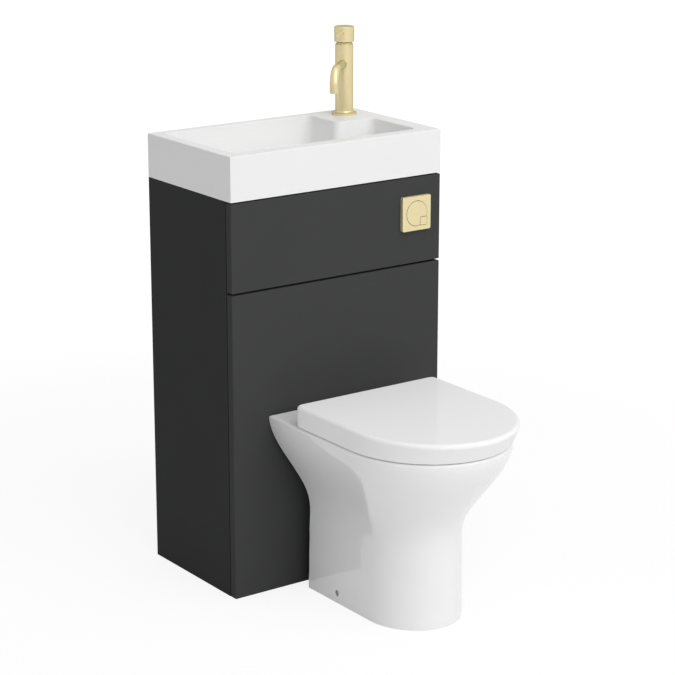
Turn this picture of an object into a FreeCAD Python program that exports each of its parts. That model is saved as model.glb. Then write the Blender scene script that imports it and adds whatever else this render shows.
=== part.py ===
import FreeCAD, Part
import math
import os
import Sketcher

# Combined toilet and basin unit: a narrow cabinet with a slab basin and tap on top, a concealed
# cistern inside and a back-to-wall pan in front.
# Frame: origin on the floor, at the wall, on the centre line; +X to the right, +Y to the wall, +Z up.
# Lengths are in millimetres and angles in degrees.

SIZES = {
    # Cabinet
    "cabinet_width": 500.0,
    "cabinet_depth": 300.0,
    "cabinet_height": 802.0,
    "side_board": 16.0,
    "rail_board": 16.0,
    "front_board": 18.0,
    "panel_seam": 2.0,
    "panel_gap": 4.0,
    "basin_gap": 3.0,
    "upper_panel_height": 175.0,
    "panel_edge_round": 1.2,
    "front_rail_height": 34.0,
    "middle_rail_height": 80.0,
    "bottom_rail_height": 70.0,
    "rear_rail_height": 60.0,
    "cistern_rail_height": 80.0,
    "dowel_radius": 4.0,
    "dowel_in_side": 10.0,
    "dowel_in_rail": 20.0,
    "clip_radius": 4.0,
    "clip_reach": 10.0,
    "clip_flange_radius": 11.0,
    "clip_from_side": 44.0,
    "clip_from_edge": 25.0,
    "wall_hole_radius": 4.0,
    "wall_hole_spacing": 300.0,
    # Basin
    "basin_height": 88.0,
    "bowl_depth": 66.0,
    "bowl_floor": 14.0,
    "bowl_draft": 9.0,
    "bowl_corner": 16.0,
    "bowl_floor_round": 8.0,
    "basin_rim_left": 25.0,
    "basin_rim_right": 38.0,
    "basin_rim_front": 30.0,
    "basin_rim_rear": 20.0,
    "ledge_width": 126.0,
    "ledge_reach": 120.0,
    "ledge_thickness": 15.0,
    "basin_skirt": 20.0,
    "basin_edge_round": 2.0,
    # Basin waste and trap
    "waste_left_of_centre": 40.0,
    "waste_from_wall": 182.0,
    "waste_hole_radius": 22.0,
    "waste_radius": 20.9,
    "waste_bore": 17.5,
    "waste_flange_radius": 32.0,
    "waste_flange": 3.0,
    "waste_length": 86.0,
    "plug_radius": 30.0,
    "plug_cap": 4.0,
    "plug_stem_radius": 4.0,
    "plug_stem_length": 50.0,
    "plug_travel": 8.0,
    "washer_thickness": 4.0,
    "washer_radius": 31.0,
    "waste_nut_height": 9.0,
    "waste_nut_radius": 30.0,
    "trap_radius": 27.0,
    "trap_wall": 3.0,
    "trap_body_height": 75.0,
    "trap_collar_height": 14.0,
    "trap_nut_radius": 30.0,
    "trap_cup_height": 60.0,
    "trap_cup_overlap": 14.0,
    "trap_outlet_radius": 18.0,
    "trap_outlet_drop": 38.0,
    "trap_outlet_length": 80.0,
    "trap_outlet_end": 40.0,
    "trap_outlet_step": 1.0,
    # Tap
    "tap_from_right": 62.0,
    "tap_from_wall": 56.0,
    "tap_turn": 222.0,
    "tap_hole_radius": 17.5,
    "tap_radius": 18.5,
    "tap_bore": 12.0,
    "cartridge_bore": 15.0,
    "tap_body_height": 146.0,
    "tap_flange_radius": 25.5,
    "tap_flange": 4.0,
    "tap_cove": 3.5,
    "tap_gasket": 1.5,
    "tap_shank_radius": 16.5,
    "tap_shank": 13.0,
    "tap_shank_wall": 1.5,
    "tap_base": 20.0,
    "tap_port_radius": 4.5,
    "tap_port_spacing": 14.0,
    "tap_stud_radius": 4.0,
    "tap_stud_length": 50.0,
    "tap_stud_seat": 8.0,
    "tap_nut_radius": 7.5,
    "tap_nut_height": 7.0,
    "clamp_plate": 3.0,
    "clamp_plate_radius": 24.0,
    "spout_radius": 9.0,
    "spout_bore": 6.5,
    "spout_height": 106.0,
    "spout_reach": 94.0,
    "spout_bend": 30.0,
    "spout_drop": 17.0,
    "aerator_length": 10.0,
    "cartridge_height": 22.0,
    "cartridge_wall": 3.3,
    "cartridge_floor": 4.0,
    "carrier_height": 15.0,
    "pivot_radius": 2.0,
    "pivot_rise": 10.0,
    "spindle_radius": 4.0,
    "spindle_length": 42.0,
    "cartridge_nut_flange": 3.0,
    "cartridge_nut_bore": 11.0,
    "lever_groove": 5.2,
    "lever_cap_radius": 20.4,
    "lever_cap_height": 31.0,
    "lever_cap_wall": 3.0,
    "lever_cap_recess": 6.0,
    "peg_radius": 4.0,
    "peg_reach": 58.0,
    "peg_rise": 23.5,
    "peg_slope": 5.0,
    "peg_seat": 8.0,
    # Flush plate and buttons
    "plate_size": 70.0,
    "plate_thickness": 8.0,
    "plate_corner": 3.5,
    "plate_from_right": 64.0,
    "plate_height": 103.0,
    "full_button_radius": 25.0,
    "half_button_size": 16.0,
    "half_button_offset": 17.0,
    "half_button_corner": 2.0,
    "button_line": 1.0,
    "button_thickness": 4.2,
    "button_proud": 0.4,
    "full_stem_radius": 5.0,
    "half_stem_radius": 2.5,
    "stem_length": 34.0,
    "stem_offset": 5.0,
    "housing_radius": 30.0,
    "housing_depth": 44.0,
    "housing_nut_radius": 38.0,
    "housing_nut_height": 9.0,
    "nipple_radius": 2.5,
    "nipple_length": 10.0,
    # Pan
    "rim_height": 368.0,
    "neck_height": 172.0,
    "base_half_width": 97.0,
    "neck_half_width": 93.5,
    "rim_half_width": 168.0,
    "base_rear_gap": 33.0,
    "rim_rear_gap": 1.0,
    "base_shoulder": 240.0,
    "base_front": 348.0,
    "rim_shoulder": 273.0,
    "rim_front": 454.0,
    "rim_round": 5.0,
    "pan_wall": 12.0,
    "deck_thickness": 28.0,
    "bowl_half_width": 126.0,
    "bowl_rear": 140.0,
    "bowl_front": 430.0,
    "sump_half_width": 40.0,
    "sump_reach": 215.0,
    "sump_depth": 42.0,
    "sump_height": 70.0,
    "trapway_radius": 38.0,
    "trapway_low": 108.0,
    "trapway_bend": 62.0,
    "outlet_height": 180.0,
    "outlet_radius": 51.0,
    "outlet_collar": 28.0,
    "outlet_step": 1.5,
    "outlet_from_wall": 250.0,
    "outlet_hole_radius": 53.0,
    "inlet_height": 316.0,
    "inlet_radius": 27.5,
    "inlet_boss_radius": 36.0,
    "inlet_depth": 44.0,
    "side_hole_radius": 6.5,
    "side_hole_height": 20.0,
    "side_hole_reach": 129.0,
    "bracket_width": 40.0,
    "bracket_height": 38.0,
    "bracket_thickness": 20.0,
    "pan_screw_radius": 2.4,
    # Seat and lid
    "seat_seam": 2.5,
    "lid_depth": 41.5,
    "lid_rear": 89.0,
    "lid_shoulder": 290.0,
    "lid_front": 478.0,
    "lid_wall": 6.0,
    "lid_top": 7.0,
    "lid_edge_round": 7.0,
    "lid_corner": 14.0,
    "seat_clearance": 2.0,
    "seat_thickness": 20.0,
    "seat_lift": 5.0,
    "seat_rear": 125.0,
    "seat_edge_round": 5.0,
    "seat_hole_half_width": 104.0,
    "seat_hole_rear": 170.0,
    "seat_hole_front": 395.0,
    "hinge_reach": 99.5,
    "hinge_rise": 26.0,
    "hinge_spacing": 140.0,
    "hinge_post_width": 20.0,
    "hinge_post_radius": 9.0,
    "hinge_pin_radius": 4.0,
    "hinge_ear": 15.0,
    "hinge_ear_radius": 8.0,
    "hinge_stud_radius": 4.0,
    "hinge_stud_length": 44.0,
    "hinge_nut_radius": 9.0,
    "hinge_nut_height": 8.0,
    "bumper_radius": 7.0,
    # Cistern
    "cistern_width": 396.0,
    "cistern_depth": 128.0,
    "cistern_height": 250.0,
    "cistern_lift": 405.0,
    "cistern_wall": 4.0,
    "cistern_corner": 18.0,
    "cistern_lid": 4.0,
    "cistern_lid_lip": 10.0,
    "cistern_screw_radius": 2.5,
    "cistern_screw_spacing": 240.0,
    "cistern_screw_drop": 30.0,
    "flush_tail_radius": 30.0,
    "flush_tail": 34.0,
    "flush_flange_radius": 42.0,
    "flush_flange": 5.0,
    "flush_tower_radius": 38.0,
    "flush_tower_wall": 3.0,
    "flush_tower_height": 140.0,
    "flush_window_width": 26.0,
    "flush_window_height": 60.0,
    "plunger_tube_radius": 13.0,
    "plunger_tube_wall": 2.0,
    "plunger_disc_radius": 32.0,
    "plunger_disc": 6.0,
    "plunger_tube_height": 180.0,
    "seal_thickness": 4.0,
    "seal_radius": 30.0,
    "flush_nut_radius": 40.0,
    "flush_nut_height": 13.0,
    "flush_pipe_radius": 20.0,
    "flush_pipe_wall": 2.5,
    "flush_pipe_bend": 60.0,
    "flush_cone_length": 34.0,
    "fill_from_end": 58.0,
    "fill_shank_radius": 10.48,
    "fill_shank": 42.0,
    "fill_thread": 25.0,
    "fill_neck_radius": 12.0,
    "fill_bore": 6.0,
    "fill_flange_radius": 17.0,
    "fill_flange": 4.0,
    "fill_riser_radius": 8.0,
    "fill_riser_height": 150.0,
    "fill_head_radius": 17.0,
    "fill_head_height": 30.0,
    "fill_nut_radius": 18.0,
    "fill_nut_height": 8.0,
    "float_radius": 24.0,
    "float_height": 50.0,
    "float_rest": 30.0,
    # Clearances
    "loose": 0.3,
    "running": 0.05,
    "snug": 0.1,
    "lap": 1.0,
}

FULL_TURN = 360.0
QUARTER_TURN = 90.0
HEXAGON = 6
V = FreeCAD.Vector
X_AXIS = V(1, 0, 0)
Y_AXIS = V(0, 1, 0)
Z_AXIS = V(0, 0, 1)
SIDES = (-1, 1)
SIDE_NAMES = {-1: "left", 1: "right"}
BOX_UPRIGHT_EDGES = (1, 3, 5, 7)
BOX_ALL_EDGES = tuple(range(1, 13))

doc = FreeCAD.newDocument("toilet_basin_unit")
sheet = doc.addObject("Spreadsheet::Sheet", "Sizes")
for row, (alias, value) in enumerate(SIZES.items(), start=1):
    sheet.set(f"A{row}", alias)
    sheet.set(f"B{row}", str(value))
    sheet.setAlias(f"B{row}", alias)
doc.recompute()

sub_parts = []


class Size:
    """A length from the sheet that carries both its number and its expression."""

    def __init__(self, number, text):
        self.number = float(number)
        self.text = text

    def __add__(self, other):
        other = as_size(other)
        return Size(self.number + other.number, f"({self.text} + {other.text})")

    def __sub__(self, other):
        other = as_size(other)
        return Size(self.number - other.number, f"({self.text} - {other.text})")

    def __mul__(self, factor):
        return Size(self.number * factor, f"({self.text} * {factor})")

    def __truediv__(self, factor):
        return Size(self.number / factor, f"({self.text} / {factor})")

    def __neg__(self):
        return Size(-self.number, f"(-1 * {self.text})")

    def __radd__(self, other):
        return as_size(other) + self

    def __rsub__(self, other):
        return as_size(other) - self

    def __rmul__(self, factor):
        return self * factor


class Sheet:
    """Reads a size from the spreadsheet by its alias."""

    def __getattr__(self, alias):
        return Size(float(sheet.get(alias)), f"Sizes.{alias}")


s = Sheet()
ZERO = Size(0.0, "0")


def as_size(value):
    if isinstance(value, Size):
        return value
    return Size(value, f"{value}")


def number(value):
    return as_size(value).number


def vector(x, y, z):
    return FreeCAD.Vector(number(x), number(y), number(z))


def bind(obj, prop, value):
    obj.setExpression(prop, as_size(value).text)


def place(obj, x, y, z, axis=Z_AXIS, turn=0.0):
    """Sets where an object stands, with its position and turn bound to the sheet."""
    obj.Placement = FreeCAD.Placement(vector(x, y, z), FreeCAD.Rotation(axis, number(turn)))
    bind(obj, "Placement.Base.x", x)
    bind(obj, "Placement.Base.y", y)
    bind(obj, "Placement.Base.z", z)
    if isinstance(turn, Size):
        bind(obj, "Placement.Rotation.Angle", turn)
    return obj


def part(obj, label):
    """Gives a finished object its label and puts it on the list of sub-parts."""
    obj.Label = label
    sub_parts.append(obj)
    return obj


def box(name, low, size):
    obj = doc.addObject("Part::Box", name)
    for prop, value in zip(("Length", "Width", "Height"), size):
        bind(obj, prop, value)
    return place(obj, *low)


def rod(name, radius, length, at, axis=Z_AXIS, turn=0.0):
    obj = doc.addObject("Part::Cylinder", name)
    bind(obj, "Radius", radius)
    bind(obj, "Height", length)
    return place(obj, *at, axis, turn)


def rod_along_x(name, radius, length, at):
    return rod(name, radius, length, at, Y_AXIS, QUARTER_TURN)


def rod_along_y(name, radius, length, at):
    return rod(name, radius, length, at, X_AXIS, -QUARTER_TURN)


def hexagon(name, radius, height, at):
    obj = doc.addObject("Part::Prism", name)
    obj.Polygon = HEXAGON
    bind(obj, "Circumradius", radius)
    bind(obj, "Height", height)
    return place(obj, *at)


def join(name, pieces):
    obj = doc.addObject("Part::MultiFuse", name)
    obj.Shapes = pieces
    obj.Refine = True
    return obj


def cut(name, base, tools):
    obj = doc.addObject("Part::Cut", name)
    obj.Base = base
    obj.Tool = tools[0] if len(tools) == 1 else join(f"{name}_tools", tools)
    return obj


def group(name, pieces):
    obj = doc.addObject("Part::Compound", name)
    obj.Links = pieces
    return obj


def rounded(name, base, edges, radius):
    obj = doc.addObject("Part::Fillet", name)
    obj.Base = base
    obj.Edges = [(edge, number(radius), number(radius)) for edge in edges]
    return obj


def origin_plane(body, role):
    return next(item for item in body.Origin.OriginFeatures if item.Role == role)


def new_body(name):
    return doc.addObject("PartDesign::Body", name)


def new_sketch(body, name, role, offset=ZERO):
    sketch = body.newObject("Sketcher::SketchObject", name)
    sketch.AttachmentSupport = [(origin_plane(body, role), "")]
    sketch.MapMode = "FlatFace"
    bind(sketch, "AttachmentOffset.Base.z", offset)
    return sketch


def pin_point(sketch, edge, point, across, up):
    """Dimensions one sketch point from the origin, along both sketch axes."""
    for kind, value in (("DistanceX", as_size(across)), ("DistanceY", as_size(up))):
        rule = sketch.addConstraint(Sketcher.Constraint(kind, -1, 1, edge, point, value.number))
        sketch.setExpression(f"Constraints[{rule}]", value.text)


def polygon(sketch, points):
    first = sketch.GeometryCount
    count = len(points)
    for index in range(count):
        start = vector(*points[index], 0)
        end = vector(*points[(index + 1) % count], 0)
        sketch.addGeometry(Part.LineSegment(start, end))
    for index in range(count):
        after = first + (index + 1) % count
        sketch.addConstraint(Sketcher.Constraint("Coincident", first + index, 2, after, 1))
    for index, (across, up) in enumerate(points):
        pin_point(sketch, first + index, 1, across, up)


def rectangle(sketch, low_x, low_y, high_x, high_y):
    polygon(sketch, [(low_x, low_y), (high_x, low_y), (high_x, high_y), (low_x, high_y)])


def circle(sketch, across, up, radius):
    centre = vector(across, up, 0)
    edge = sketch.addGeometry(Part.Circle(centre, Z_AXIS, number(radius)))
    pin_point(sketch, edge, 3, across, up)
    rule = sketch.addConstraint(Sketcher.Constraint("Radius", edge, number(radius)))
    bind(sketch, f"Constraints[{rule}]", radius)


def pad(body, sketch, length, reverse=False):
    feature = body.newObject("PartDesign::Pad", f"{sketch.Name}_pad")
    feature.Profile = sketch
    feature.Reversed = reverse
    bind(feature, "Length", length)
    return feature


def pocket(body, sketch, length, reverse=False):
    feature = body.newObject("PartDesign::Pocket", f"{sketch.Name}_pocket")
    feature.Profile = sketch
    feature.Reversed = reverse
    bind(feature, "Length", length)
    return feature


def turned(name, profile, at, axis=Z_AXIS, turn=0.0):
    """A piece turned about its own Z axis from a profile of (radius, height) points."""
    body = new_body(name)
    sketch = new_sketch(body, f"{name}_profile", "XZ_Plane")
    polygon(sketch, profile)
    feature = body.newObject("PartDesign::Revolution", f"{name}_turning")
    feature.Profile = sketch
    feature.ReferenceAxis = (sketch, ["V_Axis"])
    feature.Angle = FULL_TURN
    return place(body, *at, axis, turn)


def ring(name, outer, inner, height, at, axis=Z_AXIS, turn=0.0):
    profile = [(inner, ZERO), (outer, ZERO), (outer, height), (inner, height)]
    return turned(name, profile, at, axis, turn)


def soften(body, name, radius, wanted):
    """Rounds the edges of a body's last feature that the given test picks."""
    doc.recompute()
    base = body.Tip
    names = [f"Edge{i}" for i, edge in enumerate(base.Shape.Edges, start=1) if wanted(edge)]
    feature = body.newObject("PartDesign::Fillet", name)
    feature.Base = (base, names)
    bind(feature, "Radius", radius)
    return feature


# Places that several pieces share

half_width = s.cabinet_width / 2
inner_half = half_width - s.side_board
carcass_depth = s.cabinet_depth - s.front_board - s.panel_seam
panel_back = s.cabinet_depth - s.front_board
upper_panel_top = s.cabinet_height - s.basin_gap
upper_panel_low = upper_panel_top - s.upper_panel_height
lower_panel_top = upper_panel_low - s.panel_gap
panel_joint = upper_panel_low - s.panel_gap / 2
clip_x = inner_half - s.clip_from_side
basin_top = s.cabinet_height + s.basin_height
bowl_floor_top = basin_top - s.bowl_depth
bowl_floor_under = bowl_floor_top - s.bowl_floor
tap_x = half_width - s.tap_from_right
tap_y = -s.tap_from_wall
ledge_under = basin_top - s.ledge_thickness
waste_x = -s.waste_left_of_centre
waste_y = -s.waste_from_wall
plate_x = half_width - s.plate_from_right
plate_z = upper_panel_low + s.plate_height
cistern_back = s.rail_board
cistern_y = -(cistern_back + s.cistern_depth / 2)
cistern_top = s.cistern_lift + s.cistern_height
fill_x = s.fill_from_end - s.cistern_width / 2
hinge_y = -(s.cabinet_depth + s.hinge_reach)
hinge_z = s.rim_height + s.hinge_rise


# Cabinet

def rail_places():
    """Each rail's front-to-back start, its lowest height and its own height."""
    front = -carcass_depth
    rear = -s.rail_board
    cistern_rail_low = cistern_top - s.cistern_rail_height - s.cistern_wall
    return {
        "front_top_rail": (front, s.cabinet_height - s.front_rail_height, s.front_rail_height),
        "front_middle_rail": (front, panel_joint - s.middle_rail_height / 2, s.middle_rail_height),
        "front_bottom_rail": (front, ZERO, s.bottom_rail_height),
        "rear_top_rail": (rear, s.cabinet_height - s.rear_rail_height, s.rear_rail_height),
        "rear_middle_rail": (rear, cistern_rail_low, s.cistern_rail_height),
        "rear_bottom_rail": (rear, ZERO, s.bottom_rail_height),
    }


def rail_axis(place_of_rail):
    start, low, height = place_of_rail
    return start + s.rail_board / 2, low + height / 2


def clip_rows():
    """The heights of the clip rows, with the rail that each row sits on."""
    return {
        "top": (s.cabinet_height - s.front_rail_height / 2, "front_top_rail"),
        "above_joint": (panel_joint + s.clip_from_edge, "front_middle_rail"),
        "below_joint": (panel_joint - s.clip_from_edge, "front_middle_rail"),
        "bottom": (s.bottom_rail_height / 2, "front_bottom_rail"),
    }


def clip_holes(name, rows, start):
    holes = []
    radius = s.clip_radius + s.snug
    for row_name in rows:
        height = clip_rows()[row_name][0]
        for side in SIDES:
            at = (clip_x * side, start, height)
            hole = f"{name}_{row_name}_{SIDE_NAMES[side]}"
            holes.append(rod_along_y(hole, radius, s.clip_reach + s.loose, at))
    return holes


def side_panel(side):
    name = f"side_panel_{SIDE_NAMES[side]}"
    low_x = -half_width if side < 0 else inner_half
    board = box(f"{name}_board", (low_x, -carcass_depth, ZERO),
                (s.side_board, carcass_depth, s.cabinet_height))
    hole_x = -inner_half - s.dowel_in_side - s.loose if side < 0 else inner_half
    holes = []
    for rail_name, rail_place in rail_places().items():
        y, z = rail_axis(rail_place)
        holes.append(rod_along_x(f"{name}_{rail_name}", s.dowel_radius + s.snug,
                                 s.dowel_in_side + s.loose, (hole_x, y, z)))
    part(cut(name, board, holes), name)


def rail(name):
    start, low, height = rail_places()[name]
    board = box(f"{name}_board", (-inner_half, start, low), (inner_half * 2, s.rail_board, height))
    y, z = rail_axis(rail_places()[name])
    depth = s.dowel_in_rail + s.loose
    tools = []
    for side in SIDES:
        hole_x = -inner_half if side < 0 else inner_half - depth
        tools.append(rod_along_x(f"{name}_{SIDE_NAMES[side]}_end", s.dowel_radius + s.snug, depth,
                                 (hole_x, y, z)))
    rows = [row for row, (_, rail_name) in clip_rows().items() if rail_name == name]
    if rows:
        tools += clip_holes(name, rows, -carcass_depth)
    if name == "rear_top_rail":
        for side in SIDES:
            at = (s.wall_hole_spacing / 2 * side, -s.rail_board, z)
            tools.append(rod_along_y(f"wall_hole_{SIDE_NAMES[side]}", s.wall_hole_radius,
                                     s.rail_board, at))
    if name == "rear_middle_rail":
        for side in SIDES:
            at = (s.cistern_screw_spacing / 2 * side, -s.rail_board, cistern_top - s.cistern_screw_drop)
            tools.append(rod_along_y(f"cistern_pilot_{SIDE_NAMES[side]}",
                                     s.cistern_screw_radius + s.snug, s.rail_board, at))
    part(cut(name, board, tools), name)


def rail_dowels():
    dowels = []
    length = s.dowel_in_side + s.dowel_in_rail
    for rail_name, rail_place in rail_places().items():
        y, z = rail_axis(rail_place)
        for side in SIDES:
            low_x = -inner_half - s.dowel_in_side if side < 0 else inner_half - s.dowel_in_rail
            dowels.append(rod_along_x(f"dowel_{rail_name}_{SIDE_NAMES[side]}", s.dowel_radius,
                                      length, (low_x, y, z)))
    part(group("rail_dowels", dowels), "rail_dowels")


def panel_clips():
    """Push-in studs with a flange that keeps the seam between panel and carcass."""
    front = -s.clip_reach
    profile = [(ZERO, front), (s.clip_radius, front), (s.clip_radius, ZERO),
               (s.clip_flange_radius, ZERO), (s.clip_flange_radius, s.panel_seam),
               (s.clip_radius, s.panel_seam), (s.clip_radius, s.panel_seam + s.clip_reach),
               (ZERO, s.panel_seam + s.clip_reach)]
    clips = []
    for row_name, (height, _) in clip_rows().items():
        for side in SIDES:
            at = (clip_x * side, -panel_back, height)
            clips.append(turned(f"clip_{row_name}_{SIDE_NAMES[side]}", profile, at, X_AXIS,
                                -QUARTER_TURN))
    part(group("panel_clips", clips), "panel_clips")


def front_panel(name, low, high, rows, openings):
    board = box(f"{name}_board", (-half_width, -s.cabinet_depth, low),
                (s.cabinet_width, s.front_board, high - low))
    eased = rounded(f"{name}_eased", board, BOX_ALL_EDGES, s.panel_edge_round)
    holes = clip_holes(name, rows, -panel_back - s.clip_reach - s.loose)
    part(cut(name, eased, holes + openings), name)


def front_panels():
    front = -s.cabinet_depth
    housing_hole = rod_along_y("housing_hole", s.housing_radius + s.loose, s.front_board,
                               (plate_x, front, plate_z))
    front_panel("upper_front_panel", upper_panel_low, upper_panel_top, ("top", "above_joint"),
                [housing_hole])
    inlet_hole = rod_along_y("inlet_hole", s.inlet_radius, s.front_board,
                             (ZERO, front, s.inlet_height))
    outlet_hole = rod_along_y("outlet_hole", s.outlet_hole_radius, s.front_board,
                              (ZERO, front, s.outlet_height))
    front_panel("lower_front_panel", ZERO, lower_panel_top, ("below_joint", "bottom"),
                [inlet_hole, outlet_hole])


def cabinet():
    for side in SIDES:
        side_panel(side)
    for name in rail_places():
        rail(name)
    rail_dowels()
    panel_clips()
    front_panels()


# Basin with its waste and trap

def bowl_outline(inset):
    """The bowl seen from above: a rectangle with the tap ledge taken out of its rear right."""
    left = -half_width + s.basin_rim_left + inset
    right = half_width - s.basin_rim_right - inset
    front = -s.cabinet_depth + s.basin_rim_front + inset
    rear = -s.basin_rim_rear - inset
    ledge_x = half_width - s.ledge_width - inset
    ledge_y = -s.ledge_reach - inset
    return [(left, front), (right, front), (right, ledge_y), (ledge_x, ledge_y),
            (ledge_x, rear), (left, rear)]


def edge_heights(edge):
    return [vertex.Z for vertex in edge.Vertexes]


def is_level_at(edge, height):
    return all(abs(z - number(height)) < number(s.running) for z in edge_heights(edge))


def is_inside_block(edge):
    """True for an edge that lies away from the basin's outer faces."""
    centre = edge.BoundBox.Center
    margin = number(s.running)
    across = abs(centre.x) < number(half_width) - margin
    return across and -number(s.cabinet_depth) + margin < centre.y < -margin


def basin():
    body = new_body("basin")
    block = new_sketch(body, "basin_block", "XY_Plane", s.cabinet_height)
    rectangle(block, -half_width, -s.cabinet_depth, half_width, ZERO)
    pad(body, block, s.basin_height)
    mouth = new_sketch(body, "bowl_mouth", "XY_Plane", basin_top)
    polygon(mouth, bowl_outline(ZERO))
    floor = new_sketch(body, "bowl_floor_outline", "XY_Plane", bowl_floor_top)
    polygon(floor, bowl_outline(s.bowl_draft))
    bowl = body.newObject("PartDesign::SubtractiveLoft", "bowl")
    bowl.Profile = mouth
    bowl.Sections = [floor]
    bowl.Ruled = True
    half_depth = number(s.bowl_depth) / 2
    soften(body, "bowl_corners", s.bowl_corner,
           lambda edge: is_inside_block(edge) and edge.BoundBox.ZLength > half_depth)
    soften(body, "bowl_floor_rounding", s.bowl_floor_round,
           lambda edge: is_level_at(edge, bowl_floor_top))
    soften(body, "basin_top_rounding", s.basin_edge_round,
           lambda edge: is_level_at(edge, basin_top))
    basin_underside(body)
    part(body, "basin")


def basin_underside(body):
    recess = new_sketch(body, "underside_recess", "XY_Plane", s.cabinet_height)
    rectangle(recess, -half_width + s.basin_skirt, -s.cabinet_depth + s.basin_skirt,
              half_width - s.basin_skirt, -s.basin_skirt)
    pocket(body, recess, bowl_floor_under - s.cabinet_height, True)
    hollow = new_sketch(body, "ledge_hollow", "XY_Plane", s.cabinet_height)
    reach = s.clamp_plate_radius + s.basin_edge_round * 4
    rectangle(hollow, tap_x - reach, tap_y - reach, tap_x + reach, tap_y + reach)
    pocket(body, hollow, ledge_under - s.cabinet_height, True)
    tap_hole = new_sketch(body, "tap_hole", "XY_Plane", basin_top)
    circle(tap_hole, tap_x, tap_y, s.tap_hole_radius)
    pocket(body, tap_hole, s.basin_height)
    waste_hole = new_sketch(body, "waste_hole", "XY_Plane", basin_top)
    circle(waste_hole, waste_x, waste_y, s.waste_hole_radius)
    pocket(body, waste_hole, s.basin_height)


def waste_body():
    """Flanged waste with a crossbar that guides the plug's stem."""
    low = -s.waste_length
    profile = [(s.waste_bore, low), (s.waste_radius, low), (s.waste_radius, ZERO),
               (s.waste_flange_radius, ZERO), (s.waste_flange_radius, s.waste_flange / 2),
               (s.waste_flange_radius - s.waste_flange, s.waste_flange),
               (s.waste_bore + s.waste_flange, s.waste_flange), (s.waste_bore, ZERO)]
    at = (waste_x, waste_y, bowl_floor_top)
    tube = turned("waste_tube", profile, at)
    bar_low = bowl_floor_top - s.plug_stem_length
    bar_height = s.plug_stem_radius * 2
    bar_reach = s.waste_bore + s.waste_flange / 2
    bar = box("waste_bar", (waste_x - bar_reach, waste_y - s.plug_stem_radius, bar_low),
              (bar_reach * 2, s.plug_stem_radius * 2, bar_height))
    hub = rod("waste_hub", s.plug_stem_radius * 2, bar_height, (waste_x, waste_y, bar_low))
    guide = rod("waste_guide", s.plug_stem_radius + s.running, bar_height, (waste_x, waste_y, bar_low))
    part(cut("waste_body", join("waste_with_bar", [tube, bar, hub]), [guide]), "waste_body")


def waste_plug():
    """Mushroom plug at rest in its closed place, just above the flange."""
    seat = s.waste_flange + s.loose
    stem_low = -s.plug_stem_length - s.plug_travel
    profile = [(ZERO, stem_low), (s.plug_stem_radius, stem_low), (s.plug_stem_radius, seat),
               (s.plug_radius, seat), (s.plug_radius, seat + s.plug_cap / 2),
               (s.plug_radius - s.plug_cap, seat + s.plug_cap), (ZERO, seat + s.plug_cap)]
    part(turned("waste_plug", profile, (waste_x, waste_y, bowl_floor_top)), "waste_plug")


def waste_fixings():
    inner = s.waste_radius + s.snug
    washer_low = bowl_floor_under - s.washer_thickness
    part(ring("waste_washer", s.washer_radius, inner, s.washer_thickness,
              (waste_x, waste_y, washer_low)), "waste_washer")
    nut_low = washer_low - s.waste_nut_height
    nut = hexagon("waste_nut_hex", s.waste_nut_radius, s.waste_nut_height, (waste_x, waste_y, nut_low))
    bore = rod("waste_nut_bore", inner, s.waste_nut_height, (waste_x, waste_y, nut_low))
    part(cut("waste_backnut", nut, [bore]), "waste_backnut")


def trap_body():
    """Bottle trap: shell, collar for the waste and dip tube turned in one, with a side outlet."""
    collar_inner = s.waste_radius + s.snug
    collar_outer = collar_inner + s.trap_wall
    dip = s.waste_bore - s.trap_wall
    low = -s.trap_body_height
    inner = s.trap_radius - s.trap_wall
    dip_low = low - s.trap_cup_height / 3
    profile = [(dip, ZERO), (collar_inner, ZERO), (collar_inner, s.trap_collar_height),
               (collar_outer, s.trap_collar_height), (collar_outer, ZERO), (s.trap_radius, ZERO),
               (s.trap_radius, low), (inner, low), (inner, -s.trap_wall),
               (s.waste_bore, -s.trap_wall), (s.waste_bore, dip_low), (dip, dip_low)]
    trap_top = bowl_floor_top - s.waste_length
    at = (waste_x, waste_y, trap_top)
    shell = turned("trap_shell", profile, at)
    outlet_z = trap_top - s.trap_outlet_drop
    start_x = waste_x + inner + s.trap_wall / 3
    neck = rod_along_x("trap_outlet_neck", s.trap_outlet_radius - s.trap_outlet_step,
                       s.trap_outlet_length - s.trap_outlet_end, (start_x, waste_y, outlet_z))
    end_x = start_x + s.trap_outlet_length - s.trap_outlet_end
    end = rod_along_x("trap_outlet_end_rod", s.trap_outlet_radius, s.trap_outlet_end,
                      (end_x, waste_y, outlet_z))
    bore_start = waste_x + s.waste_bore + s.loose
    bore = rod_along_x("trap_outlet_bore", s.trap_outlet_radius - s.trap_wall,
                       s.trap_outlet_length + s.trap_radius, (bore_start, waste_y, outlet_z))
    part(cut("trap_body", join("trap_with_outlet", [shell, neck, end]), [bore]), "trap_body")


def trap_nut_and_cup():
    trap_top = bowl_floor_top - s.waste_length
    collar_outer = s.waste_radius + s.snug + s.trap_wall + s.snug
    lip = s.trap_collar_height + s.snug
    high = lip + s.trap_wall
    profile = [(collar_outer, s.snug), (s.trap_nut_radius, s.snug), (s.trap_nut_radius, high),
               (s.waste_radius + s.snug, high), (s.waste_radius + s.snug, lip), (collar_outer, lip)]
    at = (waste_x, waste_y, trap_top)
    part(turned("trap_nut", profile, at), "trap_nut")
    inner = s.trap_radius + s.snug
    outer = inner + s.trap_wall
    cup_top = -s.trap_body_height + s.trap_cup_overlap
    floor = cup_top - s.trap_cup_height
    profile = [(ZERO, floor), (outer - s.trap_wall, floor), (outer, floor + s.trap_wall), (outer, cup_top),
               (inner, cup_top), (inner, floor + s.trap_wall), (ZERO, floor + s.trap_wall)]
    part(turned("trap_cup", profile, at), "trap_cup")


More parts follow.
